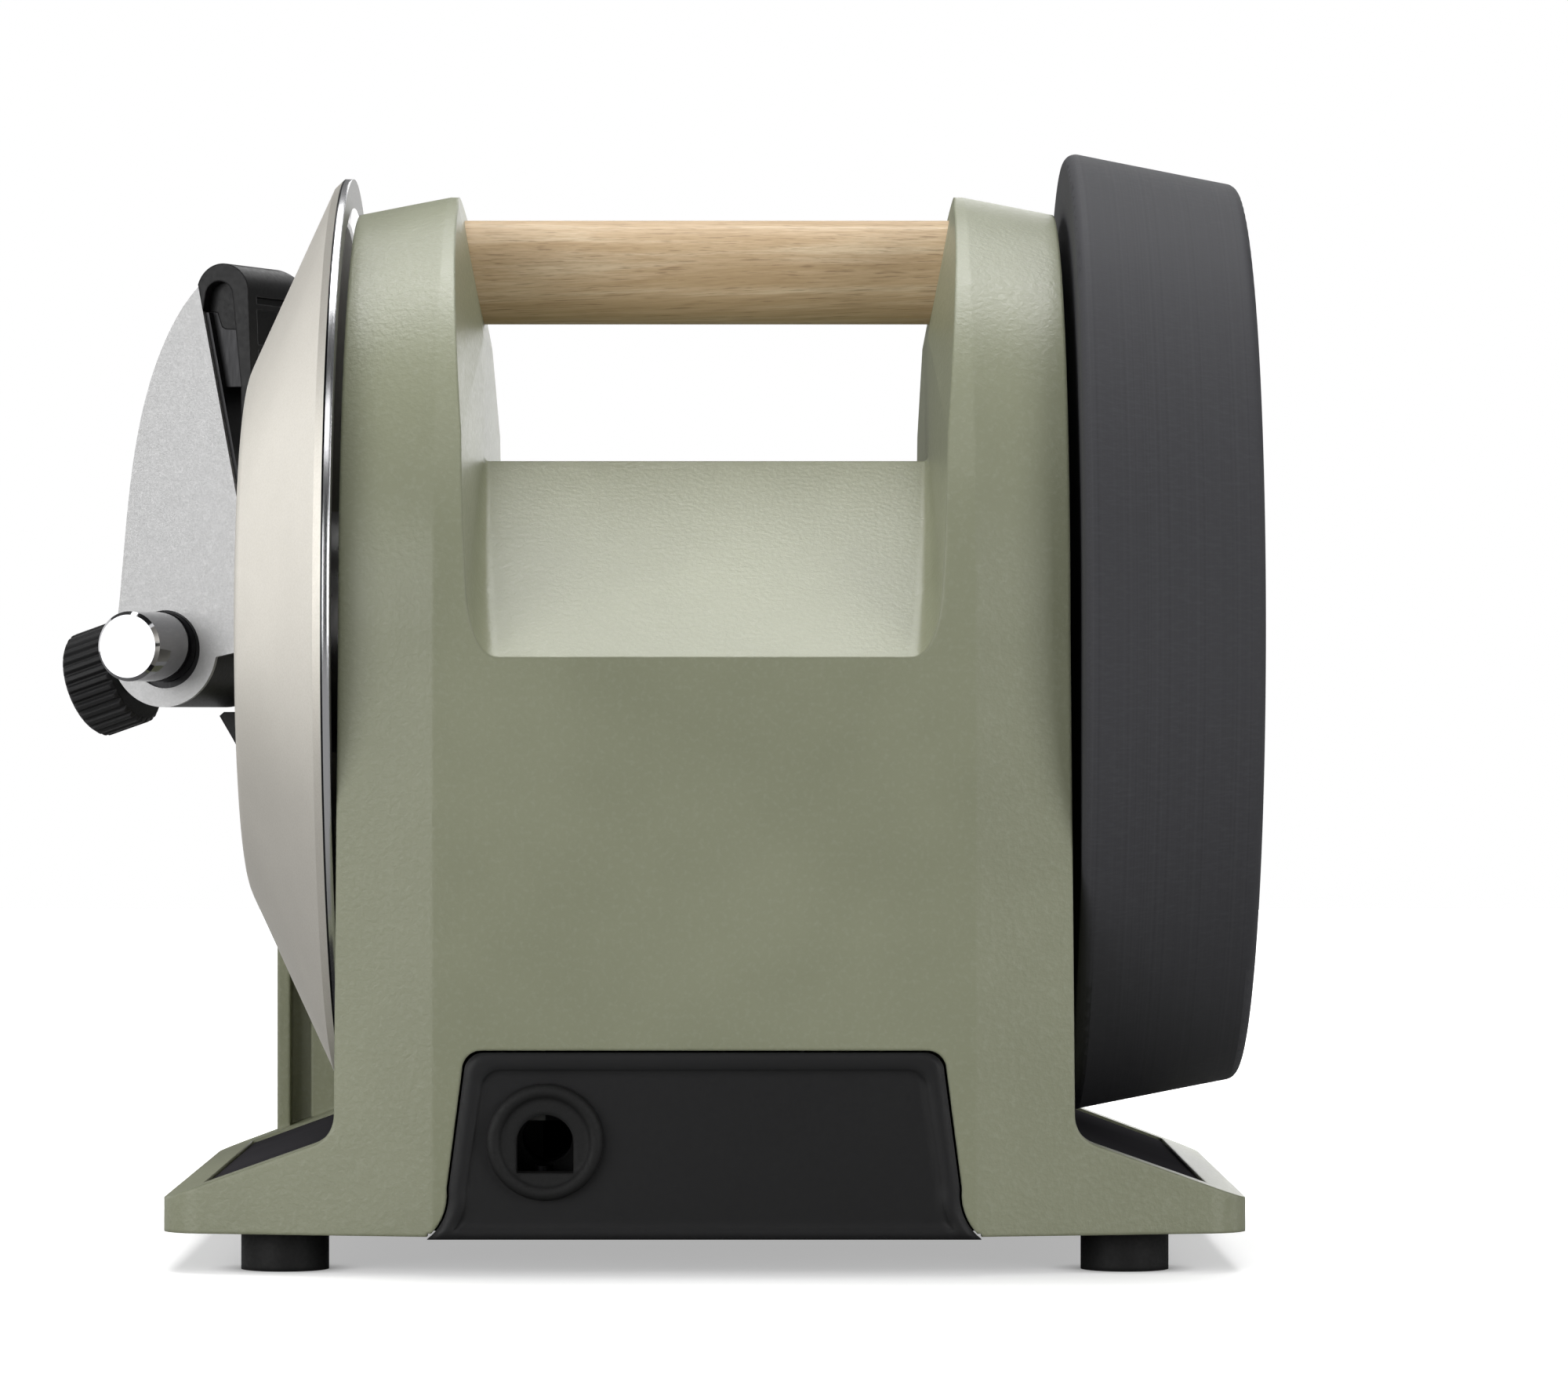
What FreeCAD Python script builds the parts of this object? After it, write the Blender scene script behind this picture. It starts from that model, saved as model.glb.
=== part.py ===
import FreeCAD, Part
import math
import os
from FreeCAD import Matrix, Placement, Rotation, Vector

# Electric knife sharpener: a cast housing with a diamond wheel on its left and a honing wheel on
# its right, both on one geared spindle, and a knife guide on a bar beside the diamond wheel.
# Millimetres, X to the right seen from the rear, Y to the front, Z up, floor at zero.

# Feet and base flanges
foot_height = 6.2
foot_diameter = 13.9
foot_inset = 18.9
foot_front = 55.0
lip_x = 85.3
lip_height = 5.3
flange_rise = 9.92
flange_fillet = 5.0
lip_corner = 7.0
inlay_depth = 1.4
inlay_sink = 0.45
inlay_gap = 0.25
inlay_margin_side = 6.3
inlay_margin_face = 7.5

# Housing shields, coaxial with the wheels
axis_height = 101.3
shield_radius = 72.0
crease_x = 42.3
side_taper = 0.195
side_x_top = 57.2
side_x_bottom = 57.9
wall = 3.2

# Hand recess between the shields. Its flanks stand up to a kink and lean out above it.
recess_half_width = 36.3
recess_kink_above_axis = 48.0
recess_lean = 10.9
rear_foot_half_width = 36.1
rear_kink_half_width = 38.5
rear_kink_above_axis = 27.1
rear_lean = 6.7
front_kink_half_width = 36.6
front_kink_above_axis = 31.7
front_lean = 6.1
recess_foot_below_axis = 11.3
roof_above_axis = 27.7
roof_half_depth = 19.0
panel_foot_below_axis = 4.8
low_corner_width = 4.6
low_corner_height = 12.0
high_corner_width = 0.8
high_corner_height = 2.0
corner_stations = 4

# Handle
handle_diameter = 17.2
handle_drop = 12.3

# Lower covers
cover_half_width = 37.4
cover_height = 28.7
cover_foot_half_width = 43.2
cover_corner = 3.0
cover_gap = 0.35
cover_thickness = 2.6
cover_proud = 0.4
cover_frame = 2.6
cover_sink = 0.6
cover_drop = 0.4
ledge_thickness = 3.2
ledge_depth = 10.0

# Cable inlet
inlet_x = -24.8
inlet_height = 14.8
inlet_radius = 9.1
inlet_face_radius = 6.85
inlet_stem_radius = 7.4
inlet_proud = 2.2
inlet_opening_width = 8.9
inlet_opening_height = 9.1

# Base plate
plate_thickness = 2.0
plate_lift = 0.7
plate_gap = 0.5
plate_corner = 4.0

# Spindle and wheels
shaft_radius_most = 6.5
seat_radius = 5.0
shoulder_x = 58.6
running_gap = 0.05
shaft_clearance = 0.3
bush_wall = 3.0
bush_inner_x = 46.0
diamond_radius = 75.0
diamond_back_x = 58.3
diamond_front_x = 75.6
diamond_band = 1.3
diamond_shell = 4.0
diamond_lean = 25.0
hub_radius = 22.0
bolt_recess_radius = 9.0
honing_back_x = 59.0
honing_front_x = 87.5
honing_big_radius = 79.4
honing_small_radius = 74.0
honing_bore = 20.0
honing_edge = 1.9
bolt_radius = 2.5
bolt_head_radius = 4.3
bolt_head_height = 4.0
washer_thickness = 1.2
washer_radius = 8.0

# Gear train, motor pinion to idler wheel and idler pinion to output gear
gear_module = 1.0
motor_pinion_teeth = 12
idler_wheel_teeth = 38
idler_pinion_teeth = 12
output_teeth = 43
gear_addendum = 0.85
gear_dedendum = 1.25
gear_backlash = 0.22
pressure_angle = 20.0
train_lean = 12.0

# Motor
motor_shaft_radius = 3.0
stator_size = 56.0
stator_left_x = -26.0
stator_right_x = 2.0
bell_length = 11.0
bell_wall = 3.0
air_gap = 0.35
rotor_radius = 8.0
fan_radius = 22.0
fan_blades = 8
vent_reach = 13.0
vent_radius = 4.5
bracket_thickness = 3.0

motor_bolt_radius = 2.0
motor_bush_radius = 4.8
pinion_end_x = 25.0

# Places along the spindle
wheel_start_x = 18.0
wheel_end_x = 24.0
idler_end_x = 36.0
idler_pin_radius = 3.0
output_start_x = 27.0
output_end_x = 35.0
diamond_hub_x = 70.0
flange_face_x = 64.0
honing_hub_x = 80.0

# Guide bar and guide
bar_diameter = 12.0
bar_length = 46.0
bar_turn = 24.0
bar_end_x = -99.3
bar_end_y = 34.3
bar_below_axis = 2.0
sleeve_wall = 4.4
guide_start = 12.7
guide_length = 22.7
guide_plate = 0.8
tongue_inset = 2.4
guide_lean = 11.6
guide_top = 62.0
clip_wall = 2.9
clip_low = 35.0
guide_strip = 0.7
guide_edge = 9.2
plate_bore_gap = 0.75
plate_bore_shift = 0.4
guide_screw_radius = 1.5
guide_screw_places = [(4.4, 51.5), (11.5, 11.5)]

# Locking knob
knob_radius = 9.35
knob_length = 9.0
knob_gap = 2.8
knob_below = 17.3
knob_along = 24.9
stud_radius = 3.0

# Rocker switch
rocker_half_width = 8.5
rocker_half_length = 7.5
rocker_swing = 10.0
rocker_gap = 0.4

# Post that carries the bar
post_outer_x = 75.2
post_inner_x = 66.0
post_back_y = 57.5
post_knee_z = 47.0
post_rib = 2.2
post_wall = 3.0
boss_start = 38.6
boss_length = 9.4
boss_radius = 9.5
set_screw_along = 43.0
scale_foot = -19.5

# Screws, bosses and posts inside the housing
boss_x = 46.0
boss_y = 58.0
boss_height = 12.0
boss_post_radius = 4.5
rib_half = 1.5
foot_boss_radius = 8.0
foot_boss_height = 30.0
foot_screw_radius = 2.0
foot_screw_cover = 1.9
foot_bore_depth = 4.0
foot_bore_radius = 4.6
base_screw_depth = 11.0
small_screw_radius = 1.75
bush_boss_radius = 14.0
bush_boss_length = 12.0
handle_pad_height = 5.9
handle_pad_radius = 6.0
handle_screw_radius = 2.0
handle_screw_depth = 16.0
handle_screw_head = 2.6
bracket_post_y = 34.0
bracket_post_radius = 4.5

# Electrical parts
clamp_bore = 3.9
terminal_half = 12.0
terminal_y = -42.0
lead_radius = 1.2
capacitor_radius = 11.0
capacitor_length = 34.0
capacitor_end_x = -16.0
capacitor_y = 40.5
switch_back_y = 54.0
coil_near = 5.0
coil_far = 13.0
coil_end = 7.5
lead_y = 7.5

# Derived levels and directions
base_z = foot_height
foot_x = lip_x - foot_inset
along_x = Vector(1, 0, 0)
along_y = Vector(0, 1, 0)
along_z = Vector(0, 0, 1)
shield_top = axis_height + shield_radius
handle_z = shield_top - handle_drop
handle_lean = (handle_z - axis_height - recess_kink_above_axis) * math.tan(math.radians(recess_lean))
handle_end_x = recess_half_width + handle_lean
handle_seat_x = handle_end_x + handle_pad_height
roof_z = axis_height + roof_above_axis
flange_slope = flange_rise / (lip_x - side_x_bottom)
foot_lid = base_z + lip_height + foot_inset * flange_slope - inlay_depth
foot_screw_top = foot_lid - foot_screw_cover
panel_slope = (roof_above_axis + panel_foot_below_axis) / (shield_radius - roof_half_depth)
recess_reach = shield_radius + 2.0
recess_foot_z = axis_height - recess_foot_below_axis
recess_top_z = shield_top + 2.0
plate_z = base_z + plate_lift
floor_inside = plate_z + plate_thickness
stage_one = gear_module * (motor_pinion_teeth + idler_wheel_teeth) / 2.0
stage_two = gear_module * (idler_pinion_teeth + output_teeth) / 2.0
idler_wheel_reach = gear_module * (idler_wheel_teeth / 2.0 + gear_addendum)
shaft_radius = min(shaft_radius_most, stage_two - idler_wheel_reach - shaft_clearance)
idler_y = stage_one * math.sin(math.radians(train_lean))
idler_z = axis_height - math.sqrt(stage_two ** 2 - idler_y ** 2)
motor_z = idler_z - stage_one * math.cos(math.radians(train_lean))
window_near = rotor_radius + air_gap + 2.3
window_far = window_near + 10.0
bar_radius = bar_diameter / 2.0
sleeve_radius = bar_radius + sleeve_wall
bar_z = axis_height - bar_below_axis
bar_direction = Vector(math.sin(math.radians(bar_turn)), math.cos(math.radians(bar_turn)), 0)
outward = Vector(-bar_direction.y, bar_direction.x, 0)
bush_outer_radius = shaft_radius + running_gap + bush_wall
bell_right_x = stator_right_x + bell_length
bell_left_x = stator_left_x - bell_length
bracket_face_x = bell_right_x + bracket_thickness
bracket_low_z = motor_z - stator_size / 2 + 12
bracket_high_z = axis_height - shaft_radius - 7
bracket_posts = [(y, z) for y in (-bracket_post_y, bracket_post_y) for z in (bracket_low_z, bracket_high_z)]
cover_face_y = shield_radius + cover_proud
cover_back_y = cover_face_y - cover_thickness
panel_y = cover_face_y - cover_sink
inlet_z = base_z + inlet_height
switch_z = base_z + cover_height / 2
capacitor_z = floor_inside + capacitor_radius + 2
knob_start = sleeve_radius + knob_gap
nodes = {}


def cuboid(low_x, high_x, low_y, high_y, low_z, high_z):
    return Part.makeBox(high_x - low_x, high_y - low_y, high_z - low_z, Vector(low_x, low_y, low_z))


def rod(start, direction, length, radius):
    return Part.makeCylinder(radius, length, start, direction)


def rod_x(low_x, high_x, y, z, radius):
    return rod(Vector(low_x, y, z), along_x, high_x - low_x, radius)


def prism(points, push):
    wire = Part.makePolygon(points + [points[0]])
    return Part.Face(wire).extrude(push)


def outline_prism(edges, push):
    wire = Part.Wire(Part.__sortEdges__(edges))
    return Part.Face(wire).extrude(push)


def line(start, end):
    return Part.LineSegment(start, end).toShape()


def arc(start, middle, end):
    return Part.Arc(start, middle, end).toShape()


def curve_through(points):
    curve = Part.BSplineCurve()
    curve.interpolate(points)
    return curve.toShape()


def turned(points):
    """Solid of revolution about the wheel axis, from points of position along X and radius."""
    corners = [Vector(x, 0, axis_height + radius) for x, radius in points]
    wire = Part.makePolygon(corners + [corners[0]])
    return Part.Face(wire).revolve(Vector(0, 0, axis_height), along_x, 360)


def mirrored_x(shape):
    return shape.mirror(Vector(0, 0, 0), along_x)


def mirrored_y(shape):
    return shape.mirror(Vector(0, 0, 0), along_y)


def four_corners(x, y):
    return [(side, end, side * x, end * y) for side in (-1, 1) for end in (-1, 1)]


def keep(name, shape):
    nodes[name] = shape


def bar_point(along):
    """A point on the guide bar's axis, measured from its free end."""
    return Vector(bar_end_x, bar_end_y, bar_z) + bar_direction * along


def face_y(x):
    """How far the front and rear faces stand from the middle at a place across the housing."""
    return shield_radius - side_taper * max(0.0, abs(x) - crease_x)


def flange_top(x):
    return base_z + lip_height + (lip_x - abs(x)) * flange_slope


def half_section(inset):
    """Right half of the housing seen from the rear, in a flat outline, drawn in by inset."""
    drop = inset * math.sqrt(1 + flange_slope ** 2)
    side = side_x_bottom - inset
    lip = lip_x - inset
    slope_angle = math.atan(flange_slope)
    radius = flange_fillet + inset
    reach = radius * math.tan((math.pi / 2 - slope_angle) / 2)
    corner_z = flange_top(side) - drop
    wall_point = Vector(side, 0, corner_z + reach)
    slope_x = side + reach * math.cos(slope_angle)
    slope_point = Vector(slope_x, 0, flange_top(slope_x) - drop)
    centre = Vector(side + radius, 0, corner_z + reach)
    halfway = (math.pi + 1.5 * math.pi - slope_angle) / 2
    middle = centre + Vector(math.cos(halfway), 0, math.sin(halfway)) * radius
    bottom = base_z - (1.0 if inset else 0.0)
    corners = [
        wall_point,
        Vector(side_x_top - inset, 0, axis_height),
        Vector(side_x_top - inset, 0, shield_top + 1),
        Vector(-1, 0, shield_top + 1),
        Vector(-1, 0, bottom),
        Vector(lip, 0, bottom),
        Vector(lip, 0, flange_top(lip) - drop),
        slope_point,
    ]
    edges = [line(corners[n], corners[n + 1]) for n in range(len(corners) - 1)]
    edges.append(arc(slope_point, middle, wall_point))
    return edges


def tombstone(x, half_depth):
    """Outline of one shield across the housing: straight sides and a half-round top."""
    low = base_z - 2
    foot_rear = Vector(x, -half_depth, low)
    foot_front = Vector(x, half_depth, low)
    spring_rear = Vector(x, -half_depth, axis_height)
    spring_front = Vector(x, half_depth, axis_height)
    crown = Vector(x, 0, axis_height + half_depth)
    edges = [
        line(foot_rear, spring_rear),
        arc(spring_rear, crown, spring_front),
        line(spring_front, foot_front),
        line(foot_front, foot_rear),
    ]
    return Part.Wire(edges)


def housing_form(inset):
    """The housing without its hand recess, drawn in by inset."""
    half_depth = shield_radius - inset
    far_depth = face_y(lip_x + 1) - inset
    centre = Part.Face(tombstone(-crease_x, half_depth)).extrude(Vector(2 * crease_x, 0, 0))
    wing = Part.makeLoft([tombstone(crease_x, half_depth), tombstone(lip_x + 1, far_depth)], True, True)
    depth = Vector(0, 2 * shield_radius + 4, 0)
    section = outline_prism(half_section(inset), depth)
    section.translate(Vector(0, -shield_radius - 2, 0))
    right = wing.common(section)
    middle = centre.common(cuboid(-crease_x, crease_x, -200, 200, base_z - (1 if inset else 0), 300))
    return middle.fuse([right, mirrored_x(right)]).removeSplitter()


def flank_line(end):
    """Half widths of the recess at its foot and its kink, the kink's height and the lean above it."""
    lines = {
        -1: (rear_foot_half_width, rear_kink_half_width, rear_kink_above_axis, rear_lean),
        0: (recess_half_width, recess_half_width, recess_kink_above_axis, recess_lean),
        1: (recess_half_width, front_kink_half_width, front_kink_above_axis, front_lean),
    }
    foot, kink, above, lean = lines[end]
    return foot, kink, axis_height + above, math.tan(math.radians(lean))


def recess_section(end, y, grow):
    """Section of the recess across the housing, above its foot."""
    foot, kink, kink_z, lean = flank_line(end)
    top = kink + (recess_top_z - kink_z) * lean
    half = [(foot, recess_foot_z), (kink, kink_z), (top, recess_top_z)]
    points = [Vector(x + grow, y, z) for x, z in half]
    points += [Vector(-x - grow, y, z) for x, z in reversed(half)]
    return Part.makePolygon(points + [points[0]])


def recess_form(grow):
    """The hand recess between the shields, grown by grow for the cavity under it."""
    roof = roof_z - grow
    slant = grow * math.sqrt(1 + panel_slope ** 2)
    knee = roof_half_depth + (slant - grow) / panel_slope
    foot = roof - panel_slope * (recess_reach - knee)
    side = [
        Vector(-60, -recess_reach, foot),
        Vector(-60, -knee, roof),
        Vector(-60, knee, roof),
        Vector(-60, recess_reach, foot),
        Vector(-60, recess_reach, recess_top_z),
        Vector(-60, -recess_reach, recess_top_z),
    ]
    across = prism(side, Vector(120, 0, 0))
    near = [recess_section(0, end * roof_half_depth, grow) for end in (-1, 1)]
    far = [recess_section(end, end * recess_reach, grow) for end in (-1, 1)]
    middle = Part.makeLoft(near, True, True)
    ends = [Part.makeLoft([near[n], far[n]], True, True) for n in (0, 1)]
    return middle.fuse(ends).common(across)


def flank(y, z):
    """Half width of the recess at a place on its lower flank."""
    near = flank_line(0)
    far = flank_line(-1 if y < 0 else 1)
    share = (abs(y) - roof_half_depth) / (recess_reach - roof_half_depth)
    foot, kink, kink_z = [a + share * (b - a) for a, b in zip(near[:3], far[:3])]
    return foot + (kink - foot) * (z - recess_foot_z) / (kink_z - recess_foot_z)


def corner_fill(share, end, side):
    """Section of the rounding left in a lower corner of the recess, square to the housing's depth."""
    y = end * (roof_half_depth + share * (recess_reach - roof_half_depth))
    z = roof_z - panel_slope * (abs(y) - roof_half_depth)
    width = high_corner_width + share * (low_corner_width - high_corner_width)
    height = high_corner_height + share * (low_corner_height - high_corner_height)
    beyond = 2.0
    inner = side * (flank(y, z) - width)
    outer = side * (flank(y, z) + beyond)
    on_floor = Vector(inner, y, z)
    pole = Vector(side * (flank(y, z) + 0.05), y, z)
    up_wall = Vector(side * (flank(y, z + height) + 0.05), y, z + height)
    curve = Part.BezierCurve()
    curve.setPoles([on_floor, pole, up_wall])
    corners = [
        up_wall,
        Vector(outer, y, z + height),
        Vector(outer, y, z - beyond),
        Vector(inner, y, z - beyond),
        on_floor,
    ]
    edges = [line(corners[n], corners[n + 1]) for n in range(4)]
    return Part.Wire([curve.toShape()] + edges)


def rounded_recess():
    """The hand recess with its lower corners rounded, less and less towards the roof."""
    form = recess_form(0)
    shares = [n / (corner_stations - 1.0) for n in range(corner_stations)]
    for end in (-1, 1):
        for side in (-1, 1):
            sections = [corner_fill(share, end, side) for share in shares]
            form = form.cut(Part.makeLoft(sections, True, True))
    return form


def cover_outline(gap):
    """Outline of the lower covers and, with a gap, of the openings they sit in."""
    half = cover_half_width + gap
    foot = cover_foot_half_width + gap
    top = base_z + cover_height + gap
    low = base_z - cover_drop
    radius = cover_corner
    tangent = radius * math.cos(math.radians(45))
    flare_start = base_z + 7.5
    flare_x = half + 2.4
    edges = []
    for side in (-1, 1):
        shoulder_in = Vector(side * (half - radius), 0, top)
        shoulder_out = Vector(side * half, 0, top - radius)
        shoulder_mid = Vector(side * (half - radius + tangent), 0, top - radius + tangent)
        flare_top = Vector(side * flare_x, 0, flare_start)
        flare_mid = Vector(side * (flare_x + 0.27 * (foot - flare_x)), 0, base_z + 2.6)
        flare_end = Vector(side * foot, 0, low)
        edges.append(arc(shoulder_in, shoulder_mid, shoulder_out))
        edges.append(line(shoulder_out, flare_top))
        edges.append(arc(flare_top, flare_mid, flare_end))
    edges.append(line(Vector(-half + radius, 0, top), Vector(half - radius, 0, top)))
    edges.append(line(Vector(-foot, 0, low), Vector(foot, 0, low)))
    return edges


def cover_slab(gap, near, far):
    """The cover outline between two distances from the middle, on the rear side."""
    slab = outline_prism(cover_outline(gap), Vector(0, far - near, 0))
    slab.translate(Vector(0, -far, 0))
    return slab


def post_form():
    """The post that carries the guide bar, standing on the left flange at the front."""
    front = face_y(post_outer_x)
    foot = base_z + 1
    base = [
        Vector(-post_outer_x, post_back_y, foot),
        Vector(-post_inner_x, post_back_y, foot),
        Vector(-post_inner_x, front, foot),
        Vector(-post_outer_x, front, foot),
    ]
    rise = Vector(0, 0, post_knee_z - foot)
    column = prism(base, rise)
    middle_x = -(post_outer_x + post_inner_x) / 2
    middle_y = (post_back_y + front) / 2
    head = bar_point(boss_start + boss_length / 2)
    lean = head - Vector(middle_x - 3, middle_y, post_knee_z + 3)
    neck = prism([point + rise for point in base], lean)
    neck = neck.cut(guide_place(cuboid(-20, 20, 0, boss_start, scale_foot - 1, 12)))
    boss = rod(bar_point(boss_start), bar_direction, boss_length, boss_radius)
    high = post_knee_z - post_wall
    deep_x = -post_inner_x - 3.5
    web_y = post_back_y + post_wall
    web = cuboid(-post_inner_x - 1, -side_x_bottom + 1, web_y, front, foot, post_knee_z)
    pocket = cuboid(-post_outer_x + post_rib, deep_x, post_back_y - 1, front - 2, foot, high)
    step = cuboid(deep_x, -post_inner_x + 1, post_back_y - 1, web_y, foot, high)
    return column.fuse([neck, boss, web]).cut(pocket).cut(step)


def corner_bosses():
    """Screw bosses in the housing's corners, under which the base plate is held."""
    top = floor_inside + boss_height
    bosses = []
    for side, end, x, y in four_corners(boss_x, boss_y):
        low_x, high_x = sorted((x, side * (side_x_bottom - 1)))
        bosses.append(rod(Vector(x, y, floor_inside), along_z, boss_height, boss_post_radius))
        bosses.append(cuboid(low_x, high_x, y - rib_half, y + rib_half, floor_inside + 2, top))
    return bosses


def cast_blank():
    """The casting before it is hollowed: housing with rounded lip corners, and the bar's post."""
    outer = housing_form(0)
    lips = []
    for edge in outer.Edges:
        ends = [v.Point for v in edge.Vertexes]
        if len(ends) == 2 and all(abs(abs(p.x) - lip_x) < 0.01 for p in ends):
            if abs(ends[0].z - ends[1].z) > 1:
                lips.append(edge)
    return outer.makeFillet(lip_corner, lips).fuse(post_form()).removeSplitter()


def inner_pads():
    """Bosses that stand in the cavity, for feet, spindle, handle, base plate and motor."""
    pads = corner_bosses()
    for side, end, x, y in four_corners(foot_x, foot_front):
        pads.append(rod(Vector(x, y, base_z), along_z, foot_boss_height, foot_boss_radius))
    for side in (-1, 1):
        out = along_x * side
        pads.append(rod(out * bush_inner_x + along_z * axis_height, out, bush_boss_length, bush_boss_radius))
        reach = handle_seat_x - recess_half_width
        pads.append(rod(out * recess_half_width + along_z * handle_z, out, reach, handle_pad_radius))
    for y, z in bracket_posts:
        pads.append(rod_x(bracket_face_x, side_x_top - 1, y, z, bracket_post_radius))
    return pads[0].multiFuse(pads[1:]).common(housing_form(1.0))


def plate_seat():
    """The room for the base plate, left full round the bosses of the feet."""
    seat = plate_form(0, base_z - 1, floor_inside)
    for side, end, x, y in four_corners(foot_x, foot_front):
        seat = seat.cut(rod(Vector(x, y, base_z), along_z, foot_boss_height, foot_boss_radius))
    return seat


def cover_openings():
    """The openings for the two lower covers, open at the foot."""
    slab = cover_slab(cover_gap, shield_radius - wall - 1.0, recess_reach)
    half = cover_foot_half_width
    low = cuboid(-half, half, -recess_reach, wall + 1 - shield_radius, base_z - 2, base_z + 0.5)
    return [slab, mirrored_y(slab), low, mirrored_y(low)]


def screw_holes():
    """Screw holes for feet, base plate, motor bracket, handle and the bar's set screw."""
    holes = []
    for side, end, x, y in four_corners(foot_x, foot_front):
        length = foot_screw_top + 0.8 - base_z + 1
        holes.append(rod(Vector(x, y, base_z - 1), along_z, length, foot_screw_radius))
    for side, end, x, y in four_corners(boss_x, boss_y):
        holes.append(rod(Vector(x, y, base_z - 1), along_z, base_screw_depth + 1.5, small_screw_radius))
    for y, z in bracket_posts:
        holes.append(rod_x(bracket_face_x - 1, bracket_face_x + 10, y, z, small_screw_radius))
    for side in (-1, 1):
        out = along_x * side
        start = out * (recess_half_width - 2) + along_z * handle_z
        length = handle_seat_x - recess_half_width + 4
        holes.append(rod(start, out, length, handle_screw_radius + 0.2))
    holes.append(rod(bar_point(set_screw_along), outward, boss_radius + 5, small_screw_radius))
    return holes


def main_casting():
    cavity = housing_form(wall).cut(recess_form(wall)).cut(inner_pads())
    body = cast_blank().cut(cavity).cut(rounded_recess())
    cuts = [plate_seat()] + cover_openings() + screw_holes()
    for side in (-1, 1):
        out = along_x * side
        start = out * (bush_inner_x - 1) + along_z * axis_height
        cuts.append(rod(start, out, bush_boss_length + 2, bush_outer_radius))
        cuts.append(inlay_form(side, 0.0, 0.0))
    cuts.append(rod(bar_point(boss_start - 1), bar_direction, bar_length - boss_start + 1, bar_radius))
    for shape in cuts:
        body = body.cut(shape)
    keep("main_casting", body)


def section_bar(inset):
    return outline_prism(half_section(inset), Vector(0, 2 * shield_radius, 0))


def inlay_form(side, gap, sink):
    """A sheet on the flange that follows its slope and the fillet up to the wall."""
    sheet = section_bar(sink).cut(section_bar(inlay_depth))
    sheet.translate(Vector(0, -shield_radius, 0))
    near = side_x_bottom - 1
    far = lip_x - inlay_margin_side - gap
    margin = inlay_margin_face + gap
    high = flange_top(near) + 3.6 - gap
    front_near = post_back_y if side < 0 else face_y(near)
    front_far = post_back_y if side < 0 else face_y(far)
    plan = [
        Vector(near, margin - face_y(near), 0),
        Vector(far, margin - face_y(far), 0),
        Vector(far, front_far - margin, 0),
        Vector(near, front_near - margin, 0),
    ]
    sheet = sheet.common(prism(plan, Vector(0, 0, high)))
    return mirrored_x(sheet) if side < 0 else sheet


def flange_inlays():
    keep("flange_inlay_left", inlay_form(-1, inlay_gap, inlay_sink))
    keep("flange_inlay_right", inlay_form(1, inlay_gap, inlay_sink))


def countersunk(x, y, z, length, radius):
    """A countersunk screw that points up, its head flush at z."""
    head = Part.makeCone(1.9 * radius, radius, 0.9 * radius, Vector(x, y, z), along_z)
    return head.fuse(rod(Vector(x, y, z), along_z, length, radius)).removeSplitter()


def base_screw_places():
    ledge_middle = cover_back_y - ledge_depth / 2
    corners = four_corners(boss_x, boss_y) + four_corners(cover_half_width - 12, ledge_middle)
    return [(x, y) for side, end, x, y in corners]


def plate_form(gap, low_z, high_z):
    """The base plate's outline inside the skirt of the housing, its corners cut off."""
    half = lip_x - wall - gap
    reach = face_y(half) - wall - gap
    crease = face_y(crease_x) - wall - gap
    quarter = [(half, reach - plate_corner), (half - plate_corner, reach), (crease_x, crease)]
    points = [Vector(x, y, low_z) for x, y in quarter]
    points += [Vector(-x, y, low_z) for x, y in reversed(quarter)]
    points += [Vector(-x, -y, low_z) for x, y in quarter]
    points += [Vector(x, -y, low_z) for x, y in reversed(quarter)]
    return prism(points, Vector(0, 0, high_z - low_z))


def base_plate():
    depth = base_screw_depth - 1
    screws = [countersunk(x, y, plate_z, depth, small_screw_radius) for x, y in base_screw_places()]
    plate = plate_form(plate_gap, plate_z, floor_inside)
    for side, end, x, y in four_corners(foot_x, foot_front):
        plate = plate.cut(rod(Vector(x, y, base_z), along_z, 10, foot_boss_radius + plate_gap))
    keep("base_plate", plate.cut(screws[0].multiFuse(screws[1:])))
    keep("housing_screws", Part.Compound(screws))


def feet():
    screws = []
    ends = {-1: "rear", 1: "front"}
    sides = {-1: "left", 1: "right"}
    for side, end, x, y in four_corners(foot_x, foot_front):
        foot = rod(Vector(x, y, 0), along_z, foot_height, foot_diameter / 2)
        length = foot_screw_top - foot_bore_depth
        shank = rod(Vector(x, y, foot_bore_depth), along_z, length, foot_screw_radius)
        head = rod(Vector(x, y, foot_bore_depth - 1.8), along_z, 1.8, foot_bore_radius - 0.6)
        bore = rod(Vector(x, y, 0), along_z, foot_bore_depth, foot_bore_radius)
        keep("foot_" + ends[end] + "_" + sides[side], foot.cut(bore).cut(shank))
        screws.append(head.fuse(shank).removeSplitter())
    keep("foot_screws", Part.Compound(screws))


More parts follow.
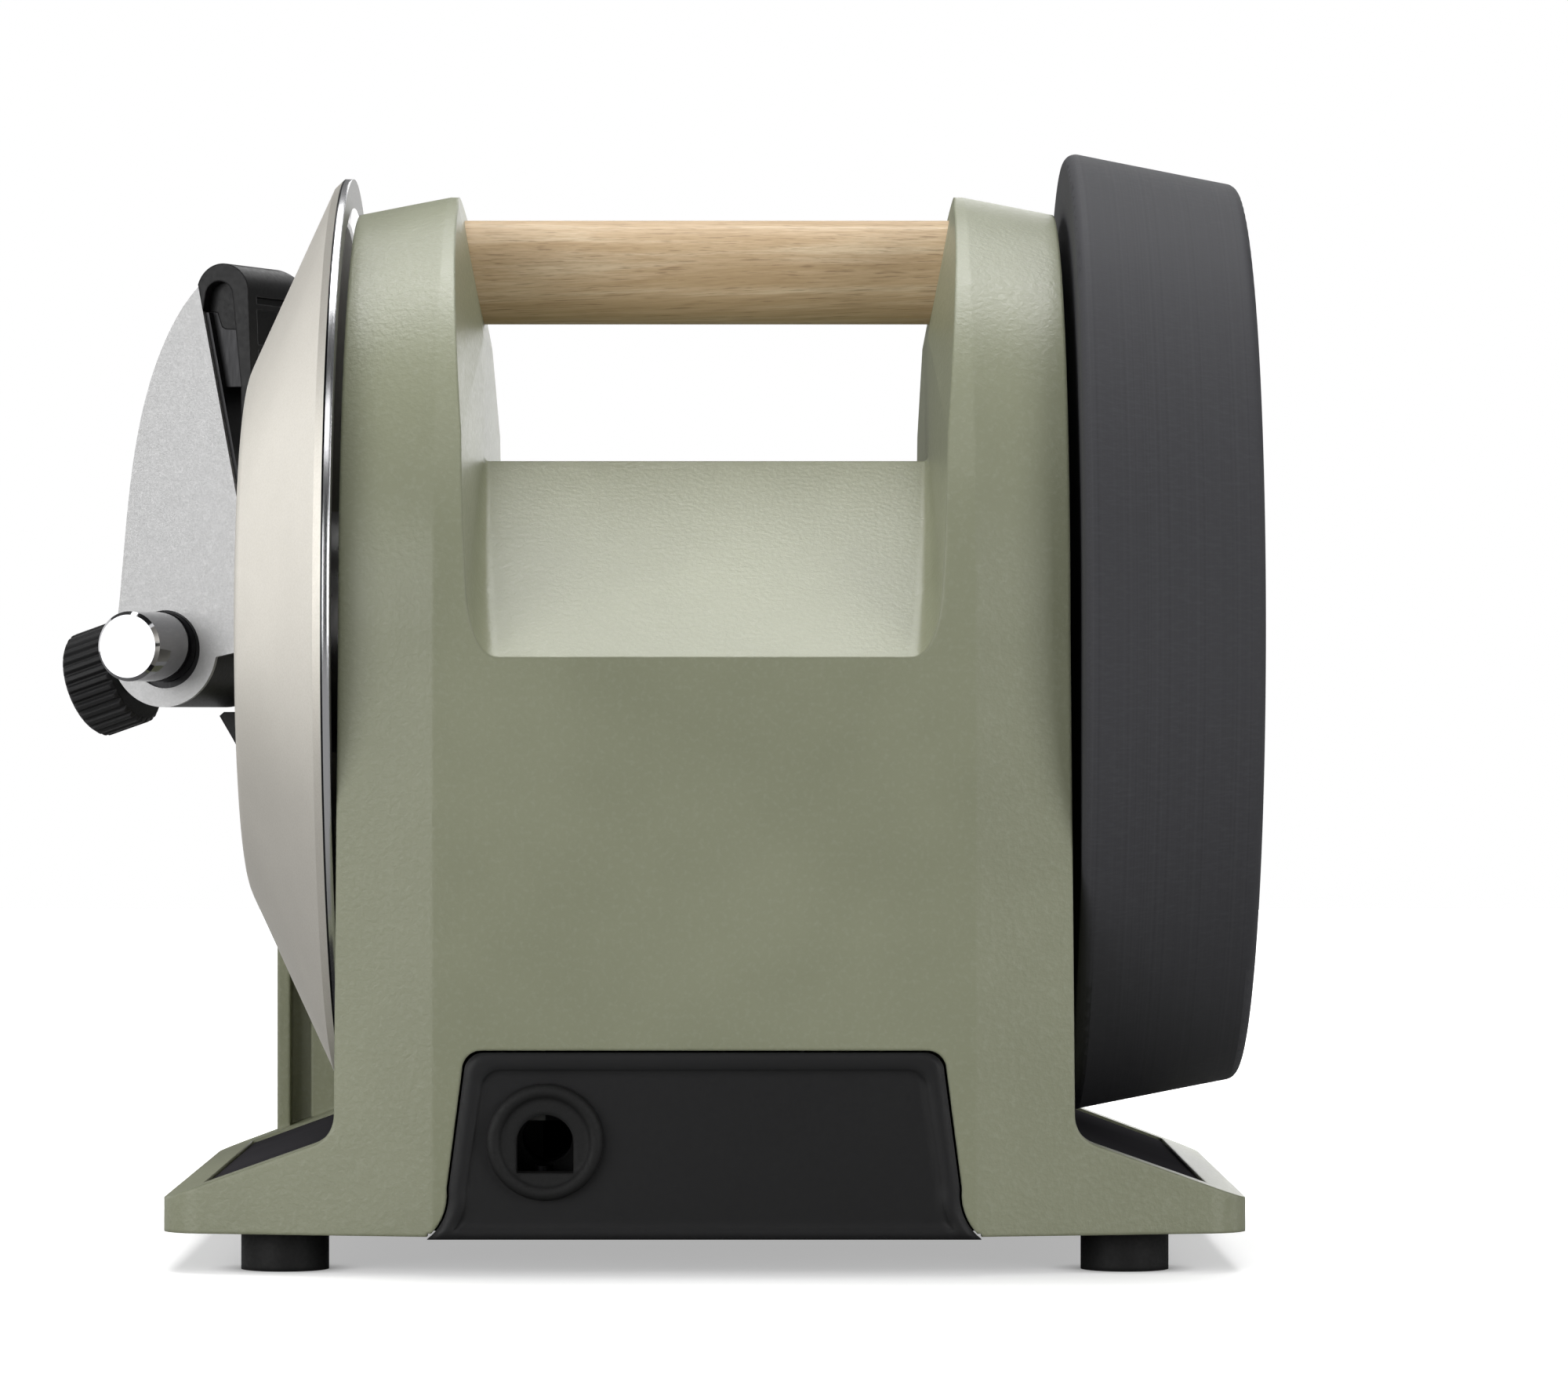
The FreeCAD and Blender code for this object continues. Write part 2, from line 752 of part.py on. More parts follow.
def handle():
    reach = handle_seat_x
    blank = rod_x(-reach, reach, 0, handle_z, handle_diameter / 2).common(recess_form(0))
    screws = []
    for side in (-1, 1):
        out = along_x * side
        seat = out * handle_seat_x + along_z * handle_z
        length = handle_screw_depth + handle_pad_height
        shank = rod(seat - out * length, out, length, handle_screw_radius)
        head = rod(seat, out, handle_screw_head, 2 * handle_screw_radius)
        screws.append(shank.fuse(head).removeSplitter())
    keep("wooden_handle", blank.cut(screws[0].fuse(screws[1])))
    keep("handle_screws", Part.Compound(screws))


def cover_blank():
    """A lower cover on the rear side: frame, sunk panel and the ledge over the base plate."""
    slab = cover_slab(0, cover_back_y, cover_face_y)
    frame = cover_slab(-cover_frame, panel_y, cover_face_y + 1)
    frame = frame.common(cuboid(-100, 100, -100, 0, base_z + 1.2, 100))
    ledge = cuboid(
        -cover_half_width + 5, cover_half_width - 5,
        -cover_back_y, -cover_back_y + ledge_depth,
        floor_inside, floor_inside + ledge_thickness,
    )
    return slab.cut(frame).fuse(ledge).removeSplitter()


def lower_covers():
    screws = nodes["housing_screws"]
    stem = rod(Vector(inlet_x, -cover_face_y - 1, inlet_z), along_y, 30, inlet_stem_radius)
    keep("rear_cover", cover_blank().cut(screws).cut(stem))
    front = mirrored_y(cover_blank()).cut(screws)
    keep("front_cover", front.cut(switch_stem(0.15, 20)))


def inlet_opening(push_from, push_to):
    """The D-shaped way through the cable bushing: flat floor, round top."""
    half = inlet_opening_width / 2
    low = inlet_z - inlet_opening_height / 2 - 0.25
    spring = low + inlet_opening_height - half
    left = Vector(inlet_x - half, push_from, spring)
    right = Vector(inlet_x + half, push_from, spring)
    crown = Vector(inlet_x, push_from, spring + half)
    low_left = Vector(inlet_x - half, push_from, low)
    low_right = Vector(inlet_x + half, push_from, low)
    floor = [line(right, low_right), line(low_right, low_left), line(low_left, left)]
    return outline_prism([arc(left, crown, right)] + floor, Vector(0, push_to - push_from, 0))


def cable_bushing():
    face = panel_y + inlet_proud
    flat = face - 0.9
    back = cover_back_y - 3.0
    centre = Vector(inlet_x, 0, inlet_z)

    def at(radius, y):
        return centre + Vector(radius, -y, 0)

    rim = at(inlet_radius, flat - 0.2)
    edges = [
        line(at(0, flat), at(inlet_face_radius, flat)),
        arc(at(inlet_face_radius, flat), at(inlet_face_radius + 1.0, face), rim),
        line(rim, at(inlet_radius, panel_y)),
        line(at(inlet_radius, panel_y), at(inlet_stem_radius, panel_y)),
        line(at(inlet_stem_radius, panel_y), at(inlet_stem_radius, cover_back_y)),
        line(at(inlet_stem_radius, cover_back_y), at(inlet_radius - 0.3, cover_back_y)),
        line(at(inlet_radius - 0.3, cover_back_y), at(inlet_stem_radius, back)),
        line(at(inlet_stem_radius, back), at(0, back)),
        line(at(0, back), at(0, flat)),
    ]
    ring = Part.Face(Part.Wire(Part.__sortEdges__(edges))).revolve(centre, along_y, 360)
    keep("cable_bushing", ring.cut(inlet_opening(-face - 1, -back + 1)))


def cable_entry():
    """Cable clamp and terminal block on the base plate behind the inlet."""
    near = -cover_back_y + ledge_depth + 2
    clamp = cuboid(inlet_x - 8, inlet_x + 8, near, near + 7, floor_inside, inlet_z + 6)
    keep("cable_clamp", clamp.cut(rod(Vector(inlet_x, near - 1, inlet_z), along_y, 9, clamp_bore)))
    top = floor_inside + 11
    block = cuboid(-terminal_half, terminal_half, terminal_y - 12, terminal_y, floor_inside, top)
    for n in range(3):
        place = Vector((n - 1) * 7.0, terminal_y - 6, floor_inside + 4)
        block = block.cut(rod(place, along_z, 8, 2.0))
    keep("terminal_block", block)


def lead(points, radius):
    """A lead along straight runs, joined by tangent arcs as wide as its runs allow."""
    edges = []
    last = points[0]
    for before, corner, after in zip(points, points[1:], points[2:]):
        back = (before - corner).normalize()
        ahead = (after - corner).normalize()
        shorter = min((before - corner).Length, (after - corner).Length)
        half_turn = (math.pi - back.getAngle(ahead)) / 2
        cut_back = 0.45 * shorter
        bend = cut_back / math.tan(half_turn)
        start = corner + back * cut_back
        end = corner + ahead * cut_back
        inward = (back + ahead).normalize()
        centre = corner + inward * math.hypot(bend, cut_back)
        edges.append(line(last, start))
        edges.append(arc(start, centre - inward * bend, end))
        last = end
    edges.append(line(last, points[-1]))
    path = Part.Wire(edges)
    ring = Part.makeCircle(radius, points[0], points[1] - points[0])
    return path.makePipeShell([Part.Wire([ring])], True, True)


def lead_routes():
    coil_low = motor_z - coil_far
    coil_x = stator_right_x + 4.5
    return [
        [
            Vector(-6, terminal_y, floor_inside + 6),
            Vector(-6, -12, floor_inside + 3.6),
            Vector(-6, 22, floor_inside + 3.6),
            Vector(-6, switch_back_y, floor_inside + 8),
        ],
        [
            Vector(6, terminal_y, floor_inside + 6),
            Vector(coil_x, -22, floor_inside + 4.6),
            Vector(coil_x, -9, floor_inside + 8),
            Vector(coil_x, -lead_y, coil_low),
        ],
        [
            Vector(capacitor_end_x + 0.6, capacitor_y, capacitor_z),
            Vector(-5, capacitor_y - 3.5, capacitor_z - 2),
            Vector(coil_x - 0.5, 22, floor_inside + 7),
            Vector(coil_x, 9, floor_inside + 8.5),
            Vector(coil_x, lead_y, coil_low),
        ],
    ]


def internal_leads():
    keep("internal_leads", Part.Compound([lead(points, lead_radius) for points in lead_routes()]))


def capacitor():
    y = capacitor_y
    z = capacitor_z
    near = capacitor_end_x - capacitor_length / 2 - 5
    far = near + 10
    sheet = 1.2
    outer = capacitor_radius + sheet
    can = rod_x(capacitor_end_x - capacitor_length, capacitor_end_x, y, z, capacitor_radius)
    keep("capacitor", can)
    band = rod_x(near, far, y, z, outer)
    legs = cuboid(near, far, y - outer, y + outer, floor_inside, z)
    between = cuboid(near - 1, far + 1, y - outer + sheet, y + outer - sheet, floor_inside - 1, z)
    hollow = between.fuse(rod_x(near - 1, far + 1, y, z, capacitor_radius + 0.1))
    foot = cuboid(near, far, y + outer - sheet, y + outer + 6, floor_inside, floor_inside + sheet)
    strap = band.fuse(legs).cut(hollow).common(cuboid(near, far, -100, 100, floor_inside, 100))
    keep("capacitor_clip", strap.fuse(foot).removeSplitter())


def switch_stem(gap, length):
    """The part of the switch that goes through the front cover."""
    half_x = rocker_half_width + 1.9 + gap
    half_z = rocker_half_length + 1.9 + gap
    far = cover_face_y + 0.01 if gap == 0 else cover_face_y + 1
    return cuboid(-half_x, half_x, far - length, far, switch_z - half_z, switch_z + half_z)


def rocker_switch():
    pivot_y = panel_y + 0.4
    bezel = cuboid(
        -rocker_half_width - 3.4, rocker_half_width + 3.4,
        panel_y, panel_y + 1.6,
        switch_z - rocker_half_length - 3.4, switch_z + rocker_half_length + 3.4,
    )
    half_x = rocker_half_width + 1.9
    half_z = rocker_half_length + 1.9
    stem = cuboid(-half_x, half_x, switch_back_y, panel_y, switch_z - half_z, switch_z + half_z)
    cavity = cuboid(
        -rocker_half_width - rocker_gap, rocker_half_width + rocker_gap,
        pivot_y - 7, panel_y + 3,
        switch_z - rocker_half_length - 0.9, switch_z + rocker_half_length + 0.9,
    )
    pin_hole = rod_x(-half_x - 1, half_x + 1, pivot_y, switch_z, 1.2 + running_gap)
    keep("switch_body", bezel.fuse(stem).removeSplitter().cut(cavity).cut(pin_hole))
    half = rocker_half_length
    points = [
        Vector(-rocker_half_width, -4.6, 0),
        Vector(-rocker_half_width, -2.2, half - 1.2),
        Vector(-rocker_half_width, 3.0, half),
        Vector(-rocker_half_width, 1.7, 0),
        Vector(-rocker_half_width, 3.0, -half),
        Vector(-rocker_half_width, -2.2, -half + 1.2),
    ]
    rocker = prism(points, Vector(2 * rocker_half_width, 0, 0))
    rocker = rocker.fuse(rod_x(-half_x, half_x, 0, 0, 1.2)).removeSplitter()
    rocker.rotate(Vector(0, 0, 0), along_x, rocker_swing)
    rocker.translate(Vector(0, pivot_y, switch_z))
    keep("switch_rocker", rocker)


def motor_block(x_from, x_to, half_y, half_z):
    low_x, high_x = sorted((x_from, x_to))
    return cuboid(low_x, high_x, -half_y, half_y, motor_z - half_z, motor_z + half_z)


def motor_core(bolt_group):
    """The stator's stack, with a window on either side of the bore for the windings."""
    half = stator_size / 2
    bore = rotor_radius + air_gap
    reach = coil_far + 0.5
    core = motor_block(stator_left_x, stator_right_x, half, half)
    core = core.cut(rod_x(stator_left_x - 1, stator_right_x + 1, 0, motor_z, bore))
    for side in (-1, 1):
        low, high = sorted((side * window_near, side * window_far))
        window = cuboid(stator_left_x - 1, stator_right_x + 1, low, high, motor_z - reach, motor_z + reach)
        core = core.cut(window)
    keep("stator_core", core.cut(bolt_group))


def motor_windings():
    coils = []
    far = window_far - 0.5
    near = window_near + 0.3
    for side in (-1, 1):
        low, high = sorted((motor_z + side * coil_near, motor_z + side * coil_far))
        turn = cuboid(stator_left_x - coil_end, stator_right_x + coil_end, -far, far, low, high)
        gap = cuboid(stator_left_x - 0.3, stator_right_x + 0.3, -near, near, low - 1, high + 1)
        coils.append(turn.cut(gap))
    keep("stator_windings", Part.Compound(coils))


def end_bell(name, inner, outer, bolt_group):
    """A cup that carries one bush of the motor; gives the bush back."""
    way = 1 if outer > inner else -1
    out = along_x * way
    half = stator_size / 2
    room = half - bell_wall
    centre = Vector(outer, 0, motor_z)
    bush = rod(centre - out * 4, out, 5, motor_bush_radius)
    bore = rod(centre - out * 5, out, 8, motor_shaft_radius + running_gap)
    cup = motor_block(inner, outer, half, half)
    cup = cup.cut(motor_block(inner - way, outer - way * bell_wall, room, room))
    cup = cup.cut(bush).cut(bore).cut(bolt_group)
    for side, end, y, z in four_corners(vent_reach, vent_reach):
        cup = cup.cut(rod(centre + Vector(-5 * way, y, z), out, 8, vent_radius))
    if way > 0:
        for y in (-lead_y, lead_y):
            start = Vector(stator_right_x + 4.5, y, motor_z - half - 1)
            cup = cup.cut(rod(start, along_z, 6, 2 * lead_radius))
    keep(name, cup)
    return bush.cut(bore)


def cooling_fan(shaft):
    fan_x = bell_left_x - 11
    fan = rod_x(fan_x, fan_x + 6, 0, motor_z, 2 * motor_shaft_radius)
    fan = fan.fuse(rod_x(fan_x, fan_x + 1.2, 0, motor_z, fan_radius))
    low = motor_z + 2 * motor_shaft_radius - 1
    blade = cuboid(fan_x + 1, fan_x + 5.5, -0.7, 0.7, low, motor_z + fan_radius - 1)
    for n in range(fan_blades):
        copy = blade.copy()
        copy.rotate(Vector(0, 0, motor_z), along_x, 360.0 / fan_blades * n)
        fan = fan.fuse(copy)
    keep("cooling_fan", fan.removeSplitter().cut(shaft))


def motor():
    """Stator, coils, end bells, rotor, fan and bolts about the motor's axis."""
    head = 2.5
    reach = stator_size / 2 - 4.5
    bolts = []
    for side, end, y, z in four_corners(reach, reach):
        bolt = rod_x(bell_left_x - head, bracket_face_x, y, motor_z + z, motor_bolt_radius)
        bolt_head = rod_x(bell_left_x - head, bell_left_x, y, motor_z + z, 2 * motor_bolt_radius)
        bolts.append(bolt.fuse(bolt_head).removeSplitter())
    keep("motor_bolts", Part.Compound(bolts))
    bolt_group = bolts[0].multiFuse(bolts[1:])
    motor_core(bolt_group)
    motor_windings()
    left = end_bell("end_bell_left", stator_left_x, bell_left_x, bolt_group)
    right = end_bell("end_bell_right", stator_right_x, bell_right_x, bolt_group)
    keep("motor_bushes", Part.Compound([left, right]))
    shaft = rod_x(bell_left_x - 13, pinion_end_x, 0, motor_z, motor_shaft_radius)
    keep("rotor_shaft", shaft)
    rotor = rod_x(stator_left_x + 1, stator_right_x - 1, 0, motor_z, rotor_radius)
    keep("rotor_core", rotor.cut(shaft))
    cooling_fan(shaft)


def involute(angle):
    return math.tan(angle) - angle


def gear_blank(teeth, low_x, high_x, y, z, tooth_up):
    """A spur gear along X; tooth_up is the direction that a tooth's middle points, from the Z axis."""
    pitch = gear_module * teeth / 2
    base = pitch * math.cos(math.radians(pressure_angle))
    tip = pitch + gear_addendum * gear_module
    root = pitch - gear_dedendum * gear_module
    half_pitch = math.pi / (2 * teeth) - gear_backlash * gear_module / (4 * pitch)
    full = half_pitch + involute(math.radians(pressure_angle))
    start = max(base, root + 0.05 * gear_module)
    flank = [(root, full)] if root < base else []
    for n in range(4):
        radius = start + (tip - start) * n / 3.0
        flank.append((radius, full - involute(math.acos(min(1.0, base / radius)))))
    points = []
    for tooth in range(teeth):
        middle = math.radians(tooth_up) + 2 * math.pi * tooth / teeth
        around = [(radius, middle - half) for radius, half in flank]
        around += [(radius, middle + half) for radius, half in reversed(flank)]
        points += [Vector(low_x, y + r * math.sin(a), z + r * math.cos(a)) for r, a in around]
    return prism(points, Vector(high_x - low_x, 0, 0))


def gear_train():
    up_train = math.degrees(math.atan2(idler_y, idler_z - motor_z))
    to_output = math.degrees(math.atan2(-idler_y, axis_height - idler_z))
    shaft = nodes["rotor_shaft"]
    start = wheel_start_x - 0.5
    pinion = gear_blank(motor_pinion_teeth, start, pinion_end_x - 0.5, 0, motor_z, up_train)
    keep("motor_pinion", pinion.cut(shaft))
    down_train = up_train + 180 + 180.0 / idler_wheel_teeth
    overlap_x = wheel_end_x - 0.01
    wheel = gear_blank(idler_wheel_teeth, wheel_start_x, wheel_end_x, idler_y, idler_z, down_train)
    small = gear_blank(idler_pinion_teeth, overlap_x, idler_end_x, idler_y, idler_z, to_output)
    bore = rod_x(wheel_start_x - 1, idler_end_x + 1, idler_y, idler_z, idler_pin_radius + running_gap)
    keep("idler_gear", wheel.fuse(small).cut(bore))
    output_turn = to_output + 180 + 180.0 / output_teeth
    output = gear_blank(output_teeth, output_start_x, output_end_x, 0, axis_height, output_turn)
    hub = rod_x(output_end_x, output_end_x + 5, 0, axis_height, shaft_radius + 4.5)
    pin_place = Vector(output_end_x + 2.5, 0, axis_height - shaft_radius - 4.5)
    pin = rod(pin_place, along_z, 2 * shaft_radius + 9, 1.5)
    output = output.fuse(hub).cut(rod_x(0, 60, 0, axis_height, shaft_radius)).cut(pin)
    keep("output_gear", output)
    keep("output_gear_pin", pin)
    pin_end = idler_end_x + 1.5
    post = rod_x(bell_right_x, pin_end, idler_y, idler_z, idler_pin_radius)
    collar = rod_x(bracket_face_x, bracket_face_x + 1.4, idler_y, idler_z, idler_pin_radius + 2)
    clip = rod_x(idler_end_x + 0.2, idler_end_x + 1.0, idler_y, idler_z, idler_pin_radius + 2.2)
    groove = rod_x(idler_end_x + 0.2, idler_end_x + 1.0, idler_y, idler_z, idler_pin_radius - 0.5)
    ring = clip.cut(groove)
    mouth = cuboid(idler_end_x, idler_end_x + 2, idler_y - 1.6, idler_y + 1.6, idler_z, idler_z + 9)
    ring = ring.cut(mouth)
    keep("idler_clip", ring)
    keep("idler_pin", post.fuse(collar).removeSplitter().cut(ring))


def motor_bracket():
    low = bracket_low_z - 7
    high = bracket_high_z + 5
    plate = cuboid(bell_right_x, bracket_face_x, -bracket_post_y - 5, bracket_post_y + 5, low, high)
    plate = plate.cut(rod_x(bell_right_x - 1, bracket_face_x + 1, 0, motor_z, motor_bush_radius + 1))
    screws = []
    for y, z in bracket_posts:
        shank = rod_x(bell_right_x - 2.6, bracket_face_x + 9, y, z, small_screw_radius)
        head = rod_x(bell_right_x - 2.6, bell_right_x, y, z, 2 * small_screw_radius)
        screws.append(shank.fuse(head).removeSplitter())
    plate = plate.cut(nodes["motor_bolts"]).cut(nodes["idler_pin"])
    keep("motor_bracket", plate.cut(screws[0].multiFuse(screws[1:])))
    keep("bracket_screws", Part.Compound(screws))


def spindle():
    left_end = -(shoulder_x + 11)
    right_end = shoulder_x + 21
    shaft = rod_x(-shoulder_x, shoulder_x, 0, axis_height, shaft_radius)
    shaft = shaft.fuse([
        rod_x(left_end, -shoulder_x, 0, axis_height, seat_radius),
        rod_x(shoulder_x, right_end, 0, axis_height, seat_radius),
    ]).removeSplitter()
    fixings = []
    washers = []
    for face, way in ((-diamond_hub_x, -1), (honing_hub_x, 1)):
        start = Vector(face, 0, axis_height)
        washer = rod(start, along_x * way, washer_thickness, washer_radius)
        seat = Vector(face + way * washer_thickness, 0, axis_height)
        head = rod(seat, along_x * way, bolt_head_height, bolt_head_radius)
        shank = rod(seat, along_x * -way, 14, bolt_radius)
        socket = hexagon(face + way * (washer_thickness + bolt_head_height), -way)
        bolt = head.fuse(shank).removeSplitter().cut(socket)
        fixings.append(bolt)
        washers.append(washer.cut(bolt))
        shaft = shaft.cut(shank)
    keep("main_shaft", shaft.cut(nodes["output_gear_pin"]))
    keep("wheel_bolts", Part.Compound(fixings + washers))
    bushes = []
    for side in (-1, 1):
        out = along_x * side
        start = out * bush_inner_x + along_z * axis_height
        barrel = rod(start, out, side_x_top - 0.3 - bush_inner_x, bush_outer_radius)
        collar = rod(start - out * 2, out, 2, bush_outer_radius + 2.5)
        bore = rod_x(-60, 60, 0, axis_height, shaft_radius + running_gap)
        bushes.append(barrel.fuse(collar).removeSplitter().cut(bore))
    keep("shaft_bushes", Part.Compound(bushes))


def hexagon(x, way):
    points = []
    for n in range(6):
        angle = math.radians(60 * n)
        points.append(Vector(x, 2.3 * math.sin(angle), axis_height + 2.3 * math.cos(angle)))
    return prism(points, along_x * way * 2.4)


def diamond_wheel():
    lean = math.radians(diamond_lean)
    band_x = diamond_back_x + diamond_band
    rim_x = band_x + 1.4
    rim_radius = diamond_radius - 1.3
    face_radius = rim_radius - (diamond_front_x - rim_x) / math.tan(lean)
    bend = 10.0
    soft = bend * math.tan(lean / 2)
    inner_x = diamond_front_x - diamond_shell
    centre = Vector(0, 0, axis_height)

    def at(x, radius):
        return centre + Vector(-x, 0, radius)

    start_radius = face_radius - soft
    middle_radius = start_radius + bend * math.sin(lean / 2)
    soft_end = at(diamond_front_x - soft * math.sin(lean), face_radius + soft * math.cos(lean))
    soft_start = at(diamond_front_x, start_radius)
    soft_middle = at(diamond_front_x - bend * (1 - math.cos(lean / 2)), middle_radius)
    corners = [
        soft_end,
        at(rim_x, rim_radius),
        at(band_x, diamond_radius),
        at(diamond_back_x, diamond_radius),
        at(diamond_back_x, diamond_radius - 4.8),
        at(inner_x, face_radius - 0.6),
        at(inner_x, hub_radius),
        at(flange_face_x, hub_radius),
        at(flange_face_x, seat_radius),
        at(diamond_hub_x, seat_radius),
        at(diamond_hub_x, bolt_recess_radius),
        at(diamond_front_x, bolt_recess_radius),
        soft_start,
    ]
    edges = [line(corners[n], corners[n + 1]) for n in range(len(corners) - 1)]
    edges.append(arc(soft_start, soft_middle, soft_end))
    keep("diamond_wheel", Part.Face(Part.Wire(edges)).revolve(centre, along_x, 360))
    flange = turned([
        (-flange_face_x, seat_radius), (-flange_face_x, hub_radius - 2),
        (-shoulder_x, hub_radius - 2), (-shoulder_x, seat_radius),
    ])
    keep("wheel_flange_left", flange)


def honing_wheel():
    tread = turned([
        (honing_back_x, honing_bore), (honing_back_x, honing_big_radius + 0.1),
        (honing_front_x, honing_small_radius - 0.1), (honing_front_x, honing_bore),
    ])
    rims = [e for e in tread.Edges if len(e.Vertexes) == 1 and e.Curve.Radius > honing_bore + 5]
    keep("honing_wheel", tread.makeFillet(honing_edge, rims))
    hub = turned([
        (shoulder_x, seat_radius), (shoulder_x, honing_bore),
        (honing_front_x - 2, honing_bore), (honing_front_x - 2, bolt_recess_radius),
        (honing_hub_x, bolt_recess_radius), (honing_hub_x, seat_radius),
    ])
    keep("honing_wheel_hub", hub)


def guide_place(shape):
    """From the guide's own frame: X towards the wheel, Y along the bar from its free end, Z up."""
    place = Placement(Vector(bar_end_x, bar_end_y, bar_z), Rotation(along_z, -bar_turn))
    shape.Placement = place.multiply(shape.Placement)
    return shape


def slanted_edge(height):
    return sleeve_radius + guide_edge - height * math.tan(math.radians(guide_lean))


def guide_outline(along, length, strip):
    """The guide's fin and boss, seen along the bar; strip widens it behind the plates' edge."""
    limit = sleeve_radius + 6.1
    rise = math.tan(math.radians(guide_lean))
    kink = (guide_edge - 6.1) / rise
    start = Vector(-sleeve_radius + 0.7, along, 0)
    shoulder = Vector(sleeve_radius - 9.0, along, guide_top - 7.2)
    peak = Vector(slanted_edge(guide_top), along, guide_top)
    belly = Vector(sleeve_radius - 17.0, along, guide_top / 2 - 3.6)
    brow = Vector(sleeve_radius - 6.7, along, guide_top - 3.6)
    corner = Vector(limit, along, kink)
    toe = Vector(limit, along, 0.14 - 3.1 * rise)
    heel = Vector(0, along, 0.14 - 19.6 * rise)
    edges = [
        curve_through([start, belly, shoulder, brow, peak]),
        line(peak, corner),
        line(corner, toe),
        line(toe, heel),
        line(heel, start),
    ]
    push = Vector(0, length, 0)
    fin = outline_prism(edges, push)
    if strip:
        high = guide_top - 4.4
        low = kink + 4
        fin = fin.fuse(prism([
            Vector(slanted_edge(low) - 1, along, low),
            Vector(slanted_edge(low) + strip, along, low),
            Vector(slanted_edge(high) + strip, along, high),
            Vector(slanted_edge(high) - 1, along, high),
        ], push))
    return fin.fuse(rod(Vector(0, along, 0), along_y, length, sleeve_radius)).removeSplitter()


def leg_inner(height):
    return sleeve_radius + 4.8 + max(0.0, height - 44.8) * -0.1056


def clip_room(along):
    """Corners shared by the clip's inside, its insert and the tongue that they grip."""
    return {
        "tip": Vector(slanted_edge(57.8), along, 57.8),
        "left": Vector(sleeve_radius - 2.15, along, 60.8),
        "top": Vector(sleeve_radius + 0.6, along, 62.9),
        "right": Vector(leg_inner(60.9), along, 60.9),
        "step": Vector(sleeve_radius - 1.1, along, 57.6),
        "drop": Vector(sleeve_radius - 0.2, along, 55.1),
        "floor": Vector(sleeve_radius + 0.5, along, 54.7),
        "inside": Vector(leg_inner(54.5), along, 54.5),
        "low": Vector(leg_inner(44.8), along, 44.8),
        "low_left": Vector(slanted_edge(44.8), along, 44.8),
    }


def guide_screws():
    screws = []
    end = guide_start + guide_length
    radius = guide_screw_radius
    for x, z in guide_screw_places:
        shank = rod(Vector(x, guide_start + 0.6, z), along_y, guide_length - 0.6, radius)
        head = Part.makeCone(2 * radius, radius, 1.5, Vector(x, end, z), along_y * -1)
        screws.append(shank.fuse(head).removeSplitter())
    return screws


def knife_guide():
    """The guide's body between its two plates, with the stud of the locking knob."""
    body_start = guide_start + guide_plate
    front_start = guide_start + guide_length - guide_plate
    length = guide_length - 2 * guide_plate
    push = Vector(0, length, 0)
    tongue_push = Vector(0, guide_length - 2 * tongue_inset, 0)
    axis = Vector(0, 0, 0)
    room = clip_room(guide_start + tongue_inset)
    tongue_corners = ("tip", "step", "drop", "floor", "inside", "low", "low_left")
    tongue = prism([room[k] for k in tongue_corners], tongue_push)
    body = guide_outline(body_start, length, guide_strip).fuse(tongue).removeSplitter()
    body = body.cut(rod(axis, along_y, 60, bar_radius + running_gap))
    pocket = prism([
        Vector(-3.5, body_start, 19),
        Vector(sleeve_radius, body_start, 19),
        Vector(sleeve_radius - 5, body_start, 43),
        Vector(sleeve_radius - 10, body_start, 43),
    ], push)
    turn = math.radians(knob_below)
    stud_way = Vector(-math.cos(turn), 0, -math.sin(turn))
    centre = Vector(0, knob_along, 0)
    stud_low = bar_radius + running_gap
    stud = rod(centre + stud_way * stud_low, stud_way, knob_start - bar_radius + 6, stud_radius)
    stud_hole = rod(centre, stud_way, 20, stud_radius + running_gap)
    hung = Vector(plate_bore_shift, 0, -plate_bore_shift)
    bore = rod(hung, along_y, 60, bar_radius + plate_bore_gap)
    rear = guide_outline(guide_start, guide_plate, 0).cut(bore)
    front = guide_outline(front_start, guide_plate, 0).cut(bore)
    screws = guide_screws()
    group = screws[0].fuse(screws[1])
    keep("guide_body", guide_place(body.cut(pocket).cut(stud_hole).cut(group)))
    keep("guide_plate_rear", guide_place(rear.cut(group)))
    keep("guide_plate_front", guide_place(front.cut(group)))
    keep("guide_plate_screws", guide_place(Part.Compound(screws)))
    knob = fluted_knob().cut(stud)
    keep("locking_knob", guide_place(knob))
    keep("knob_stud", guide_place(stud))


def fluted_knob():
    """The locking knob, its axis square to the bar and turned below the outward direction."""
    flutes = 32
    points = []
    for n in range(flutes):
        for share, radius in ((0.0, 0.93), (0.22, 1.0), (0.62, 1.0), (0.84, 0.93)):
            angle = 2 * math.pi * (n + share) / flutes
            points.append(Vector(math.cos(angle), math.sin(angle), 0) * (knob_radius * radius))
    knob = prism(points, Vector(0, 0, knob_length))
    narrow = knob_radius - 0.6
    wide = narrow + knob_length
    knob = knob.common(Part.makeCone(narrow, wide, knob_length, Vector(0, 0, 0), along_z))
    knob = knob.common(Part.makeCone(wide, narrow, knob_length, Vector(0, 0, 0), along_z))
    knob.rotate(Vector(0, 0, 0), along_y, -90 - knob_below)
    way = Vector(-math.cos(math.radians(knob_below)), 0, -math.sin(math.radians(knob_below)))
    knob.translate(way * knob_start + Vector(0, knob_along, 0))
    return knob


